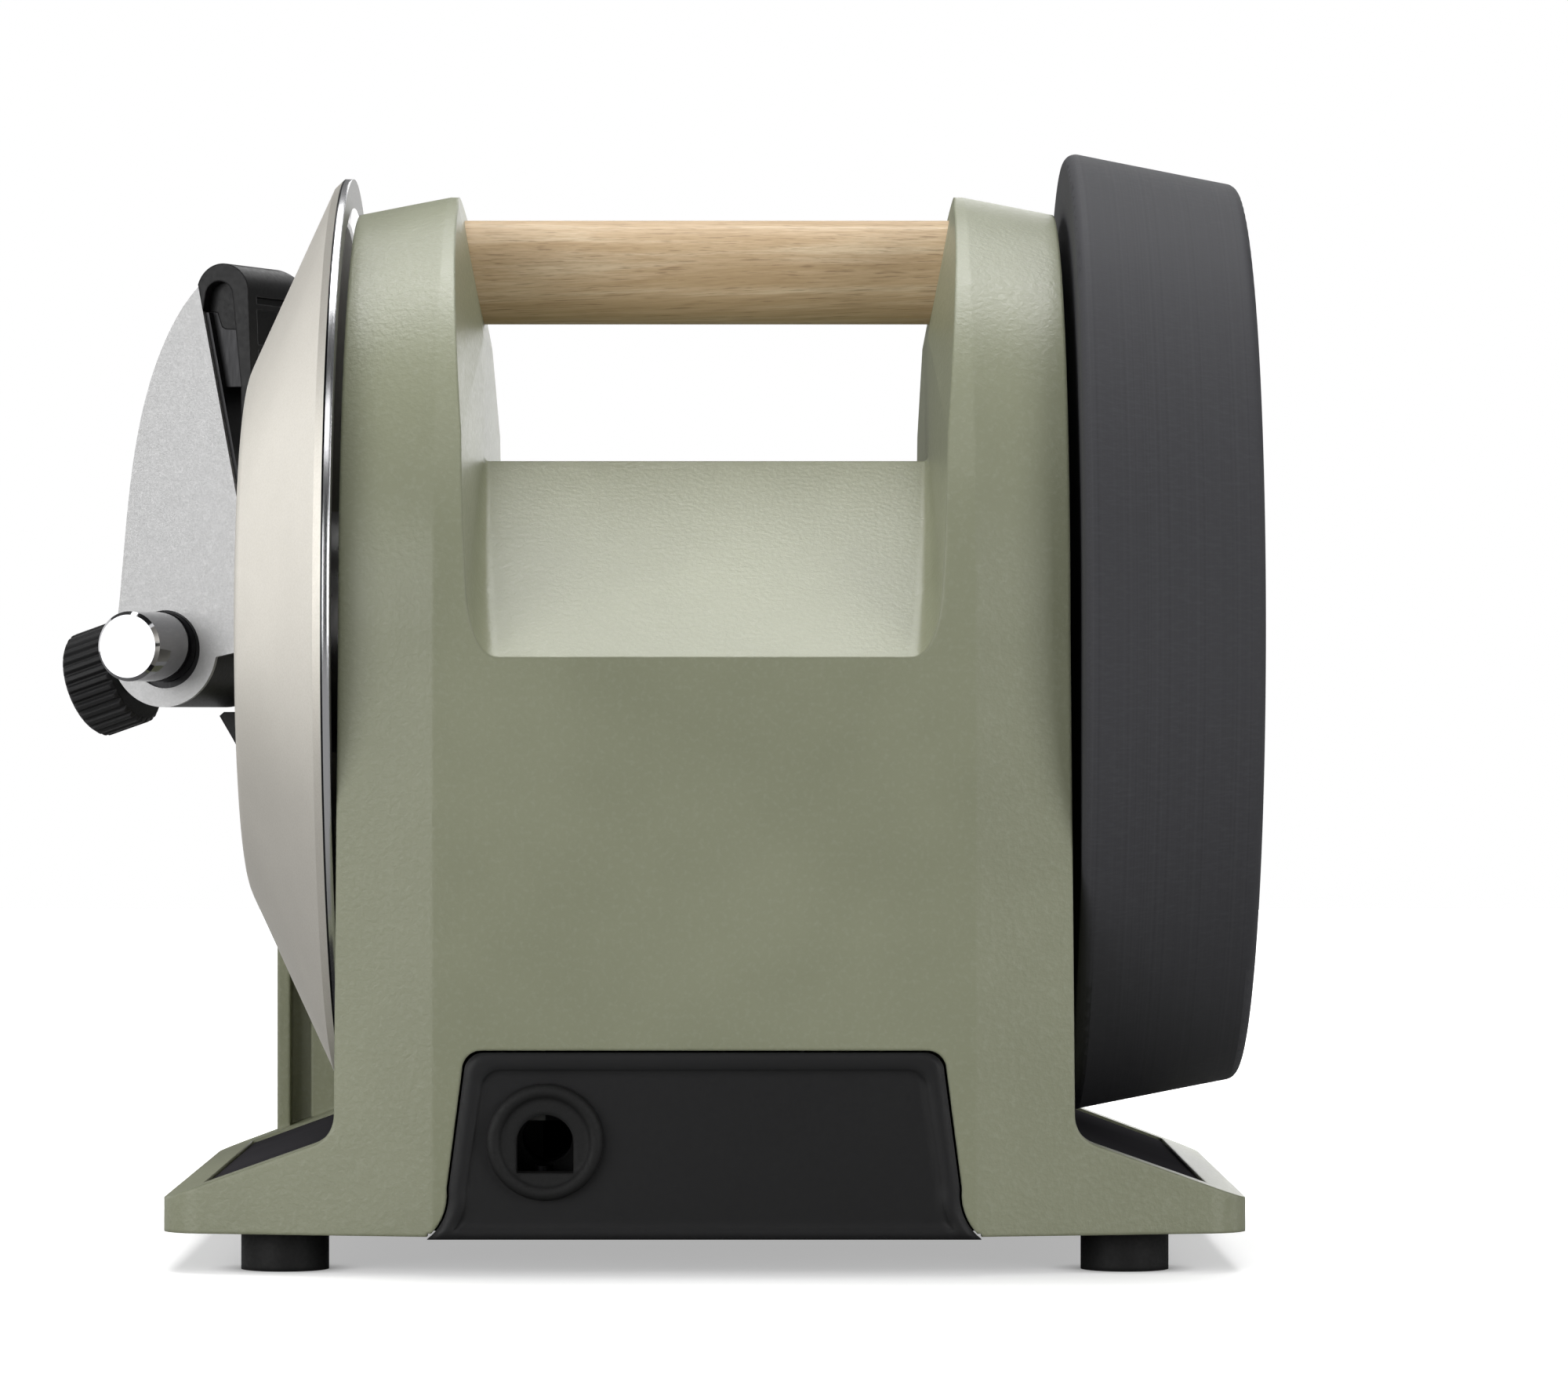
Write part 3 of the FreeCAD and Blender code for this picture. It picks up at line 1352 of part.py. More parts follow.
def knife_clip():
    """The hairpin that holds the blade: arch, long leg on the wheel's side, short one outside."""
    room = clip_room(guide_start)
    push = Vector(0, guide_length, 0)
    peak = Vector(slanted_edge(62.4), guide_start, 62.4)
    crown = Vector(sleeve_radius + 0.6, guide_start, 65.9)
    brow = Vector(leg_inner(60.9) + clip_wall + 0.2, guide_start, 61.0)
    hip = Vector(leg_inner(47) + clip_wall - 0.7, guide_start, 47)
    toe = Vector(hip.x, guide_start, clip_low)
    toe_inner = Vector(leg_inner(44.8), guide_start, clip_low)
    edges = [
        arc(peak, crown, brow), line(brow, hip), line(hip, toe), line(toe, toe_inner),
        line(toe_inner, room["low"]), line(room["low"], room["right"]),
        arc(room["right"], room["top"], room["left"]), line(room["left"], room["tip"]),
        line(room["tip"], peak),
    ]
    clip = outline_prism(edges, push)
    end = guide_start + guide_length
    notch = [Vector(0, end - 4.5, 66.4), Vector(0, end + 1, 66.4), Vector(0, end + 1, 60.9)]
    clip = clip.cut(prism(notch, Vector(30, 0, 0)))
    for low, high in ((59.0, 60.2), (52.0, 58.0), (44.5, 51.0)):
        x = leg_inner(low) + clip_wall - 1.4
        clip = clip.cut(cuboid(x, x + 5, guide_start + 3, end - 3, low, high))
    keep("knife_clip", guide_place(clip))
    fill = clip_room(guide_start + tongue_inset)
    edges = [
        arc(fill["right"], fill["top"], fill["left"]),
        line(fill["left"], fill["tip"]),
        line(fill["tip"], fill["step"]),
        line(fill["step"], fill["drop"]),
        line(fill["drop"], fill["floor"]),
        line(fill["floor"], fill["inside"]),
        line(fill["inside"], fill["right"]),
    ]
    insert = outline_prism(edges, Vector(0, guide_length - 2 * tongue_inset, 0))
    keep("clip_insert", guide_place(insert))


def guide_bar():
    bar = rod(bar_point(0), bar_direction, bar_length, bar_radius)
    rounds = [e for e in bar.Edges if len(e.Vertexes) == 1]
    ends = [e for e in rounds if e.Curve.Center.distanceToPoint(bar_point(0)) < 0.1]
    bar = bar.makeChamfer(0.6, ends)
    keep("guide_bar", bar)
    start = bar_point(set_screw_along) + outward * bar_radius
    keep("guide_bar_screw", rod(start, outward, boss_radius - bar_radius, small_screw_radius))
    scale_start = guide_start + guide_length + 0.5
    thickness = boss_start - scale_start
    ring = rod(Vector(0, scale_start, 0), along_y, thickness, sleeve_radius - 0.9)
    tail = prism([
        Vector(-0.6, scale_start, -11.2),
        Vector(-1.5, scale_start, -11.9),
        Vector(1.0, scale_start, -15.7),
        Vector(3.4, scale_start, scale_foot),
        Vector(8.5, scale_start, scale_foot),
        Vector(9.0, scale_start, -2.0),
        Vector(3.0, scale_start, -2.0),
        Vector(3.0, scale_start, -11.2),
    ], Vector(0, thickness, 0))
    plate = ring.fuse(tail).removeSplitter().cut(rod(Vector(0, 0, 0), along_y, 60, bar_radius))
    keep("angle_scale", guide_place(plate))


def write_all():
    """Write each node with the origin under the middle of the whole thing, on the floor."""
    whole = Part.Compound(list(nodes.values())).optimalBoundingBox(False)
    shift = Vector(-(whole.XMin + whole.XMax) / 2, -(whole.YMin + whole.YMax) / 2, -whole.ZMin)
    os.makedirs("parts", exist_ok=True)
    for name, shape in nodes.items():
        placed = shape.copy()
        placed.translate(shift)
        placed.exportStep("parts/" + name + ".step")
    print("nodes", len(nodes), "origin shift", [round(v, 4) for v in shift])


main_casting()
flange_inlays()
base_plate()
feet()
handle()
lower_covers()
cable_bushing()
cable_entry()
internal_leads()
capacitor()
rocker_switch()
motor()
gear_train()
motor_bracket()
spindle()
diamond_wheel()
honing_wheel()
guide_bar()
knife_guide()
knife_clip()
write_all()
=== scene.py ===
import math

import bmesh
import bpy
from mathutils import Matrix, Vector

# Electric knife sharpener seen from behind: a sage green casting between a diamond wheel and a
# honing wheel, an oak handle and a knife guide on its bar. Metres, floor at zero. Every piece
# keeps its CAD mesh and gets its finish here. Sizes of patterns are in millimetres.

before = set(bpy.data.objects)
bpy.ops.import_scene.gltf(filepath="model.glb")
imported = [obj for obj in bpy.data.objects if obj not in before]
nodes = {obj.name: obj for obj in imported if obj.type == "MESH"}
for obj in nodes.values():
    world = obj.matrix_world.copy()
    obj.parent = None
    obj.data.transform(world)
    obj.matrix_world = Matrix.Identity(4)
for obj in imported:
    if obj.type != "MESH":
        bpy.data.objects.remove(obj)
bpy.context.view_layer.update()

MM = 0.001

# The spindle's middle in the CAD frame, millimetres; patterns are measured from it
SPINDLE = (12.6576, -1.4619, 101.3)

# Camera, fitted to the wheels' outlines and the base's corners: its place, lens and sensor in
# millimetres, its shift in widths of the picture, and how near and far it sees in metres
CAMERA_PLACE = (18.98, -1157.46, 87.1)
CAMERA_LENS = 159.75
CAMERA_SENSOR = 36.0
CAMERA_SHIFT = (0.025, 0.0125)
CAMERA_REACH = (0.05, 20.0)

# Where the diamond wheel's plated cone ends and its polished band begins
BAND_X = -59.7

# A Mix node's sockets by number, because their names repeat
SHARE = 0
COLOUR_A, COLOUR_B, COLOUR_OUT = 6, 7, 2
DIRECTION_A, DIRECTION_B, DIRECTION_OUT = 4, 5, 1

# Soft lights in metres: place, width, height, and radiance, where 1 shows as white
SOFTBOXES = {
    "left_box": ((-1.28, -1.2, 0.35), 0.9, 1.0, 4.8),
    "near_left_box": ((-0.75, -1.7, 0.45), 0.6, 0.9, 2.7),
    "right_box": ((1.2, -1.3, 0.35), 0.8, 1.0, 4.5),
    "left_strip": ((-1.5, 0.0, 0.35), 0.5, 1.2, 2.7),
    "right_strip": ((1.5, 0.0, 0.35), 0.5, 1.2, 3.0),
    "brow_box": ((0.0, -1.1, 1.45), 1.2, 0.5, 2.0),
    "top_box": ((0.0, 0.22, 1.55), 1.3, 0.5, 7.0),
    "top_back_box": ((0.0, 0.6, 1.35), 0.9, 0.9, 2.8),
    "far_left_box": ((-1.4, 1.15, 0.4), 1.0, 1.2, 1.3),
    "far_right_box": ((0.45, 1.9, 0.5), 0.8, 1.2, 2.0),
}
SOFTBOX_AIM = (0.01, 0.0, 0.1)


def linear(code):
    """An sRGB hex colour as linear RGBA."""
    values = [int(code[i : i + 2], 16) / 255.0 for i in (1, 3, 5)]
    low = [v / 12.92 if v <= 0.04045 else ((v + 0.055) / 1.055) ** 2.4 for v in values]
    return (*low, 1.0)


def add(tree, kind, inputs=None, stops=None, **settings):
    """One node with its settings, its inputs as values or outputs to link, and a ramp's stops."""
    item = tree.nodes.new(kind)
    for key, value in settings.items():
        setattr(item, key, value)
    for key, value in (inputs or {}).items():
        if isinstance(value, bpy.types.NodeSocket):
            tree.links.new(value, item.inputs[key])
        else:
            item.inputs[key].default_value = value
    if stops:
        points = item.color_ramp.elements
        while len(points) < len(stops):
            points.new(0.5)
        for point, (place, colour) in zip(points, stops):
            point.position = place
            point.color = colour
    return item


def new_material(name):
    """An empty node material, its tree, and millimetres from the spindle's middle."""
    made = bpy.data.materials.new(name)
    made.use_nodes = True
    tree = made.node_tree
    tree.nodes.clear()
    coordinates = add(tree, "ShaderNodeTexCoord")
    where = add(
        tree,
        "ShaderNodeMapping",
        {
            "Vector": coordinates.outputs["Object"],
            "Location": [-v for v in SPINDLE],
            "Scale": [1 / MM] * 3,
        },
    )
    return made, tree, where.outputs["Vector"]


def powder_coated_casting():
    # Powder coat on cast aluminium: sage green satin. The eye sees orange peel just under a
    # millimetre across, slow clouds a few centimetres wide, and edges rounded by the coat.
    clouds_size, peel_size, peel_depth, coat_edge = 30, 0.9, 0.16, 0.8
    made, tree, where = new_material("powder_coated_casting")
    clouds = add(
        tree, "ShaderNodeTexNoise", {"Vector": where, "Scale": 1 / clouds_size, "Detail": 3.0}
    )
    peel = add(
        tree,
        "ShaderNodeTexNoise",
        {"Vector": where, "Scale": 1 / peel_size, "Detail": 3.0, "Roughness": 0.6},
    )
    pigment = add(
        tree,
        "ShaderNodeValToRGB",
        {"Fac": clouds.outputs["Fac"]},
        stops=[(0.32, linear("#868971")), (0.68, linear("#8e9179"))],
    )
    speck = add(
        tree,
        "ShaderNodeMapRange",
        {"Value": peel.outputs["Fac"], "From Min": 0.5, "From Max": 0.8, "To Max": 0.28},
    )
    colour = add(
        tree,
        "ShaderNodeMix",
        {
            SHARE: speck.outputs["Result"],
            COLOUR_A: pigment.outputs["Color"],
            COLOUR_B: linear("#a7a996"),
        },
        data_type="RGBA",
    )
    rough = add(
        tree,
        "ShaderNodeMapRange",
        {
            "Value": peel.outputs["Fac"],
            "From Min": 0.3,
            "From Max": 0.7,
            "To Min": 0.32,
            "To Max": 0.44,
        },
    )
    rounded = add(tree, "ShaderNodeBevel", {"Radius": coat_edge * MM}, samples=6)
    normal = add(
        tree,
        "ShaderNodeBump",
        {
            "Height": peel.outputs["Fac"],
            "Distance": peel_depth * MM,
            "Strength": 0.5,
            "Normal": rounded.outputs["Normal"],
        },
    )
    shader = add(
        tree,
        "ShaderNodeBsdfPrincipled",
        {
            "Base Color": colour.outputs[COLOUR_OUT],
            "Roughness": rough.outputs["Result"],
            "Normal": normal.outputs["Normal"],
        },
    )
    add(tree, "ShaderNodeOutputMaterial", {"Surface": shader.outputs["BSDF"]})
    return made


def oiled_oak():
    # Oiled oak, turned along its grain: pale greyish tan, with broad figure, fine fibres that run
    # slightly aslant, and thin dark pores some millimetres long.
    figure_size, fibre_size, pore_size, fibre_depth = 2.2, 0.3, 0.28, 0.06
    fibre_stretch = (0.03, 1.0, 1.0)
    pore_stretch = (0.04, 1.0, 1.0)
    slant = (0.0, 0.03, 0.05)
    made, tree, where = new_material("oiled_oak")
    aslant = add(tree, "ShaderNodeMapping", {"Vector": where, "Rotation": slant})
    along = add(
        tree, "ShaderNodeMapping", {"Vector": aslant.outputs["Vector"], "Scale": fibre_stretch}
    )
    figure = add(
        tree,
        "ShaderNodeTexNoise",
        {
            "Vector": along.outputs["Vector"],
            "Scale": 1 / figure_size,
            "Detail": 3.0,
            "Distortion": 0.6,
        },
    )
    fibres = add(
        tree,
        "ShaderNodeTexNoise",
        {
            "Vector": along.outputs["Vector"],
            "Scale": 1 / fibre_size,
            "Detail": 3.0,
            "Roughness": 0.7,
        },
    )
    short = add(
        tree, "ShaderNodeMapping", {"Vector": aslant.outputs["Vector"], "Scale": pore_stretch}
    )
    pores = add(
        tree,
        "ShaderNodeTexNoise",
        {
            "Vector": short.outputs["Vector"],
            "Scale": 1 / pore_size,
            "Detail": 2.0,
            "Roughness": 0.5,
        },
    )
    tone = add(
        tree,
        "ShaderNodeValToRGB",
        {"Fac": figure.outputs["Fac"]},
        stops=[(0.34, linear("#c0a580")), (0.5, linear("#cdb390")), (0.66, linear("#dbc6a6"))],
    )
    fibre_share = add(
        tree,
        "ShaderNodeMapRange",
        {"Value": fibres.outputs["Fac"], "From Min": 0.42, "From Max": 0.64, "To Max": 0.5},
    )
    grained = add(
        tree,
        "ShaderNodeMix",
        {
            SHARE: fibre_share.outputs["Result"],
            COLOUR_A: tone.outputs["Color"],
            COLOUR_B: linear("#ab8f6c"),
        },
        data_type="RGBA",
    )
    pore_share = add(
        tree,
        "ShaderNodeMapRange",
        {"Value": pores.outputs["Fac"], "From Min": 0.58, "From Max": 0.7, "To Max": 0.5},
    )
    colour = add(
        tree,
        "ShaderNodeMix",
        {
            SHARE: pore_share.outputs["Result"],
            COLOUR_A: grained.outputs[COLOUR_OUT],
            COLOUR_B: linear("#7d6346"),
        },
        data_type="RGBA",
    )
    rough = add(
        tree, "ShaderNodeMapRange", {"Value": fibres.outputs["Fac"], "To Min": 0.5, "To Max": 0.64}
    )
    normal = add(
        tree,
        "ShaderNodeBump",
        {"Height": fibres.outputs["Fac"], "Distance": fibre_depth * MM, "Strength": 0.5},
    )
    shader = add(
        tree,
        "ShaderNodeBsdfPrincipled",
        {
            "Base Color": colour.outputs[COLOUR_OUT],
            "Specular IOR Level": 0.3,
            "Roughness": rough.outputs["Result"],
            "Normal": normal.outputs["Normal"],
        },
    )
    add(tree, "ShaderNodeOutputMaterial", {"Surface": shader.outputs["BSDF"]})
    return made


def moulded(name, dark, light, rough, grain, depth, shine=0.5, edge=0.4):
    """Moulded plastic or rubber: an even colour under a grain of that size, rounded edges."""
    clouds_size = 18
    made, tree, where = new_material(name)
    spark = add(
        tree,
        "ShaderNodeTexNoise",
        {"Vector": where, "Scale": 1 / grain, "Detail": 3.0, "Roughness": 0.6},
    )
    clouds = add(
        tree, "ShaderNodeTexNoise", {"Vector": where, "Scale": 1 / clouds_size, "Detail": 2.0}
    )
    colour = add(
        tree,
        "ShaderNodeMix",
        {SHARE: clouds.outputs["Fac"], COLOUR_A: linear(dark), COLOUR_B: linear(light)},
        data_type="RGBA",
    )
    roughness = add(
        tree,
        "ShaderNodeMapRange",
        {
            "Value": spark.outputs["Fac"],
            "From Min": 0.3,
            "From Max": 0.7,
            "To Min": rough[0],
            "To Max": rough[1],
        },
    )
    rounded = add(tree, "ShaderNodeBevel", {"Radius": edge * MM}, samples=6)
    normal = add(
        tree,
        "ShaderNodeBump",
        {
            "Height": spark.outputs["Fac"],
            "Distance": depth * MM,
            "Strength": 0.5,
            "Normal": rounded.outputs["Normal"],
        },
    )
    shader = add(
        tree,
        "ShaderNodeBsdfPrincipled",
        {
            "Base Color": colour.outputs[COLOUR_OUT],
            "Specular IOR Level": shine,
            "Roughness": roughness.outputs["Result"],
            "Normal": normal.outputs["Normal"],
        },
    )
    add(tree, "ShaderNodeOutputMaterial", {"Surface": shader.outputs["BSDF"]})
    return made


def diamond_plated_steel():
    # Nickel plating full of fine diamond on steel: a warm grey satin cone with a fine glitter.
    # Outside it runs a narrow polished band with rolled edges, parted from the cone by a painted
    # dark line that stands in for the shade at its inner edge, and the wheel's back is plain grey.
    clouds_size, grit_size, grit_depth, rolled_edge = 22, 0.35, 0.02, 0.9
    # The width of the band's soft start, then where the painted shade line sits and its half width
    band_blur, shade_line_offset, shade_line_half = 0.05, 0.1, 0.22
    made, tree, where = new_material("diamond_plated_steel")
    grit = add(
        tree,
        "ShaderNodeTexNoise",
        {"Vector": where, "Scale": 1 / grit_size, "Detail": 3.0, "Roughness": 0.7},
    )
    clouds = add(
        tree, "ShaderNodeTexNoise", {"Vector": where, "Scale": 1 / clouds_size, "Detail": 3.0}
    )
    across = add(tree, "ShaderNodeSeparateXYZ", {"Vector": where})
    on_band = add(
        tree,
        "ShaderNodeMapRange",
        {
            "Value": across.outputs["X"],
            "From Min": BAND_X - band_blur,
            "From Max": BAND_X + band_blur,
        },
    )
    facing = add(tree, "ShaderNodeNewGeometry")
    turned = add(tree, "ShaderNodeSeparateXYZ", {"Vector": facing.outputs["True Normal"]})
    not_back = add(
        tree,
        "ShaderNodeMapRange",
        {"Value": turned.outputs["X"], "From Min": 0.95, "From Max": 0.9},
    )
    on_rim = add(
        tree,
        "ShaderNodeMath",
        {0: on_band.outputs["Result"], 1: not_back.outputs["Result"]},
        operation="MULTIPLY",
    )
    plated = add(
        tree,
        "ShaderNodeValToRGB",
        {"Fac": clouds.outputs["Fac"]},
        stops=[(0.35, linear("#dcd8cf")), (0.65, linear("#e3dfd6"))],
    )
    glint = add(
        tree,
        "ShaderNodeMapRange",
        {"Value": grit.outputs["Fac"], "From Min": 0.4, "From Max": 0.8, "To Max": 0.35},
    )
    satin = add(
        tree,
        "ShaderNodeMix",
        {
            SHARE: glint.outputs["Result"],
            COLOUR_A: plated.outputs["Color"],
            COLOUR_B: linear("#cbc6bb"),
        },
        data_type="RGBA",
    )
    ground = add(
        tree,
        "ShaderNodeMix",
        {
            SHARE: not_back.outputs["Result"],
            COLOUR_A: linear("#7b7a78"),
            COLOUR_B: satin.outputs[COLOUR_OUT],
        },
        data_type="RGBA",
    )
    # Painted shade: a dark line across the band, standing in for the shade at its inner edge
    painted_shade_line = add(
        tree,
        "ShaderNodeMath",
        {0: across.outputs["X"], 1: BAND_X + shade_line_offset, 2: shade_line_half},
        operation="COMPARE",
    )
    polished = add(
        tree,
        "ShaderNodeMix",
        {SHARE: painted_shade_line.outputs[0], COLOUR_A: linear("#d8d8da"), COLOUR_B: linear("#2c2c2e")},
        data_type="RGBA",
    )
    colour = add(
        tree,
        "ShaderNodeMix",
        {
            SHARE: on_rim.outputs[0],
            COLOUR_A: ground.outputs[COLOUR_OUT],
            COLOUR_B: polished.outputs[COLOUR_OUT],
        },
        data_type="RGBA",
    )
    satin_rough = add(
        tree,
        "ShaderNodeMapRange",
        {
            "Value": grit.outputs["Fac"],
            "From Min": 0.3,
            "From Max": 0.7,
            "To Min": 0.4,
            "To Max": 0.52,
        },
    )
    rough = add(
        tree,
        "ShaderNodeMix",
        {"Factor": on_rim.outputs[0], "A": satin_rough.outputs["Result"], "B": 0.2},
    )
    rolled = add(tree, "ShaderNodeBevel", {"Radius": rolled_edge * MM}, samples=14)
    sparkle = add(
        tree,
        "ShaderNodeBump",
        {"Height": grit.outputs["Fac"], "Distance": grit_depth * MM, "Strength": 0.35},
    )
    normal = add(
        tree,
        "ShaderNodeMix",
        {
            SHARE: on_rim.outputs[0],
            DIRECTION_A: sparkle.outputs["Normal"],
            DIRECTION_B: rolled.outputs["Normal"],
        },
        data_type="VECTOR",
    )
    shader = add(
        tree,
        "ShaderNodeBsdfPrincipled",
        {
            "Base Color": colour.outputs[COLOUR_OUT],
            "Metallic": 1.0,
            "Roughness": rough.outputs[0],
            "Normal": normal.outputs[DIRECTION_OUT],
        },
    )
    add(tree, "ShaderNodeOutputMaterial", {"Surface": shader.outputs["BSDF"]})
    return made


def honing_composite():
    # Honing composite on a rubber base: charcoal and matt, dressed on a lathe, so that faint
    # lines half a millimetre apart run round it, crossed by a linen-like grain.
    line_size, grain_size, grain_depth = 0.5, 0.45, 0.04
    grain_stretch = (0.15, 1.0, 1.0)
    made, tree, where = new_material("honing_composite")
    across = add(tree, "ShaderNodeSeparateXYZ", {"Vector": where})
    only_x = add(tree, "ShaderNodeCombineXYZ", {"X": across.outputs["X"]})
    lines = add(
        tree,
        "ShaderNodeTexNoise",
        {
            "Vector": only_x.outputs["Vector"],
            "Scale": 1 / line_size,
            "Detail": 3.0,
            "Roughness": 0.6,
        },
    )
    weft = add(tree, "ShaderNodeMapping", {"Vector": where, "Scale": grain_stretch})
    grain = add(
        tree,
        "ShaderNodeTexNoise",
        {
            "Vector": weft.outputs["Vector"],
            "Scale": 1 / grain_size,
            "Detail": 3.0,
            "Roughness": 0.65,
        },
    )
    ground = add(
        tree,
        "ShaderNodeValToRGB",
        {"Fac": lines.outputs["Fac"]},
        stops=[(0.3, linear("#3c3c3f")), (0.7, linear("#444447"))],
    )
    share = add(
        tree,
        "ShaderNodeMapRange",
        {"Value": grain.outputs["Fac"], "From Min": 0.45, "From Max": 0.75, "To Max": 0.4},
    )
    colour = add(
        tree,
        "ShaderNodeMix",
        {
            SHARE: share.outputs["Result"],
            COLOUR_A: ground.outputs["Color"],
            COLOUR_B: linear("#4e4f52"),
        },
        data_type="RGBA",
    )
    rough = add(
        tree,
        "ShaderNodeMapRange",
        {
            "Value": grain.outputs["Fac"],
            "From Min": 0.3,
            "From Max": 0.7,
            "To Min": 0.62,
            "To Max": 0.78,
        },
    )
    normal = add(
        tree,
        "ShaderNodeBump",
        {"Height": grain.outputs["Fac"], "Distance": grain_depth * MM, "Strength": 0.5},
    )
    shader = add(
        tree,
        "ShaderNodeBsdfPrincipled",
        {
            "Base Color": colour.outputs[COLOUR_OUT],
            "Specular IOR Level": 0.2,
            "Roughness": rough.outputs["Result"],
            "Normal": normal.outputs["Normal"],
        },
    )
    add(tree, "ShaderNodeOutputMaterial", {"Surface": shader.outputs["BSDF"]})
    return made


def metal(name, dark, light, rough, marks, depth, stretch=(1.0, 1.0, 1.0)):
    """Bare or plated metal with marks of that size and depth, drawn out by stretch."""
    clouds_size = 15
    made, tree, where = new_material(name)
    drawn = add(tree, "ShaderNodeMapping", {"Vector": where, "Scale": stretch})
    tooling = add(
        tree,
        "ShaderNodeTexNoise",
        {"Vector": drawn.outputs["Vector"], "Scale": 1 / marks, "Detail": 3.0, "Roughness": 0.6},
    )
    clouds = add(
        tree, "ShaderNodeTexNoise", {"Vector": where, "Scale": 1 / clouds_size, "Detail": 2.0}
    )
    colour = add(
        tree,
        "ShaderNodeMix",
        {SHARE: clouds.outputs["Fac"], COLOUR_A: linear(dark), COLOUR_B: linear(light)},
        data_type="RGBA",
    )
    roughness = add(
        tree,
        "ShaderNodeMapRange",
        {
            "Value": tooling.outputs["Fac"],
            "From Min": 0.3,
            "From Max": 0.7,
            "To Min": rough[0],
            "To Max": rough[1],
        },
    )
    normal = add(
        tree,
        "ShaderNodeBump",
        {"Height": tooling.outputs["Fac"], "Distance": depth * MM, "Strength": 0.4},
    )
    shader = add(
        tree,
        "ShaderNodeBsdfPrincipled",
        {
            "Base Color": colour.outputs[COLOUR_OUT],
            "Metallic": 1.0,
            "Roughness": roughness.outputs["Result"],
            "Normal": normal.outputs["Normal"],
        },
    )
    add(tree, "ShaderNodeOutputMaterial", {"Surface": shader.outputs["BSDF"]})
    return made


def blasted_aluminium():
    # Bead-blasted and clear anodised aluminium: even light grey, matt, with scattered pale specks
    # about a millimetre long where the blasting broke through.
    blast_size, speck_size, blast_depth = 0.35, 1.1, 0.04
    made, tree, where = new_material("blasted_aluminium")
    blast = add(
        tree,
        "ShaderNodeTexNoise",
        {"Vector": where, "Scale": 1 / blast_size, "Detail": 3.0, "Roughness": 0.65},
    )
    drift = add(
        tree,
        "ShaderNodeTexNoise",
        {
            "Vector": where,
            "Scale": 1 / speck_size,
            "Detail": 3.0,
            "Roughness": 0.7,
            "Distortion": 0.6,
        },
    )
    specks = add(
        tree,
        "ShaderNodeMapRange",
        {"Value": drift.outputs["Fac"], "From Min": 0.5, "From Max": 0.8, "To Max": 0.4},
    )
    colour = add(
        tree,
        "ShaderNodeMix",
        {
            SHARE: specks.outputs["Result"],
            COLOUR_A: linear("#b4b4b4"),
            COLOUR_B: linear("#cfcfcf"),
        },
        data_type="RGBA",
    )
    rough = add(
        tree,
        "ShaderNodeMapRange",
        {
            "Value": blast.outputs["Fac"],
            "From Min": 0.3,
            "From Max": 0.7,
            "To Min": 0.5,
            "To Max": 0.62,
        },
    )
    normal = add(
        tree,
        "ShaderNodeBump",
        {"Height": blast.outputs["Fac"], "Distance": blast_depth * MM, "Strength": 0.4},
    )
    shader = add(
        tree,
        "ShaderNodeBsdfPrincipled",
        {
            "Base Color": colour.outputs[COLOUR_OUT],
            "Metallic": 1.0,
            "Roughness": rough.outputs["Result"],
            "Normal": normal.outputs["Normal"],
        },
    )
    add(tree, "ShaderNodeOutputMaterial", {"Surface": shader.outputs["BSDF"]})
    return made


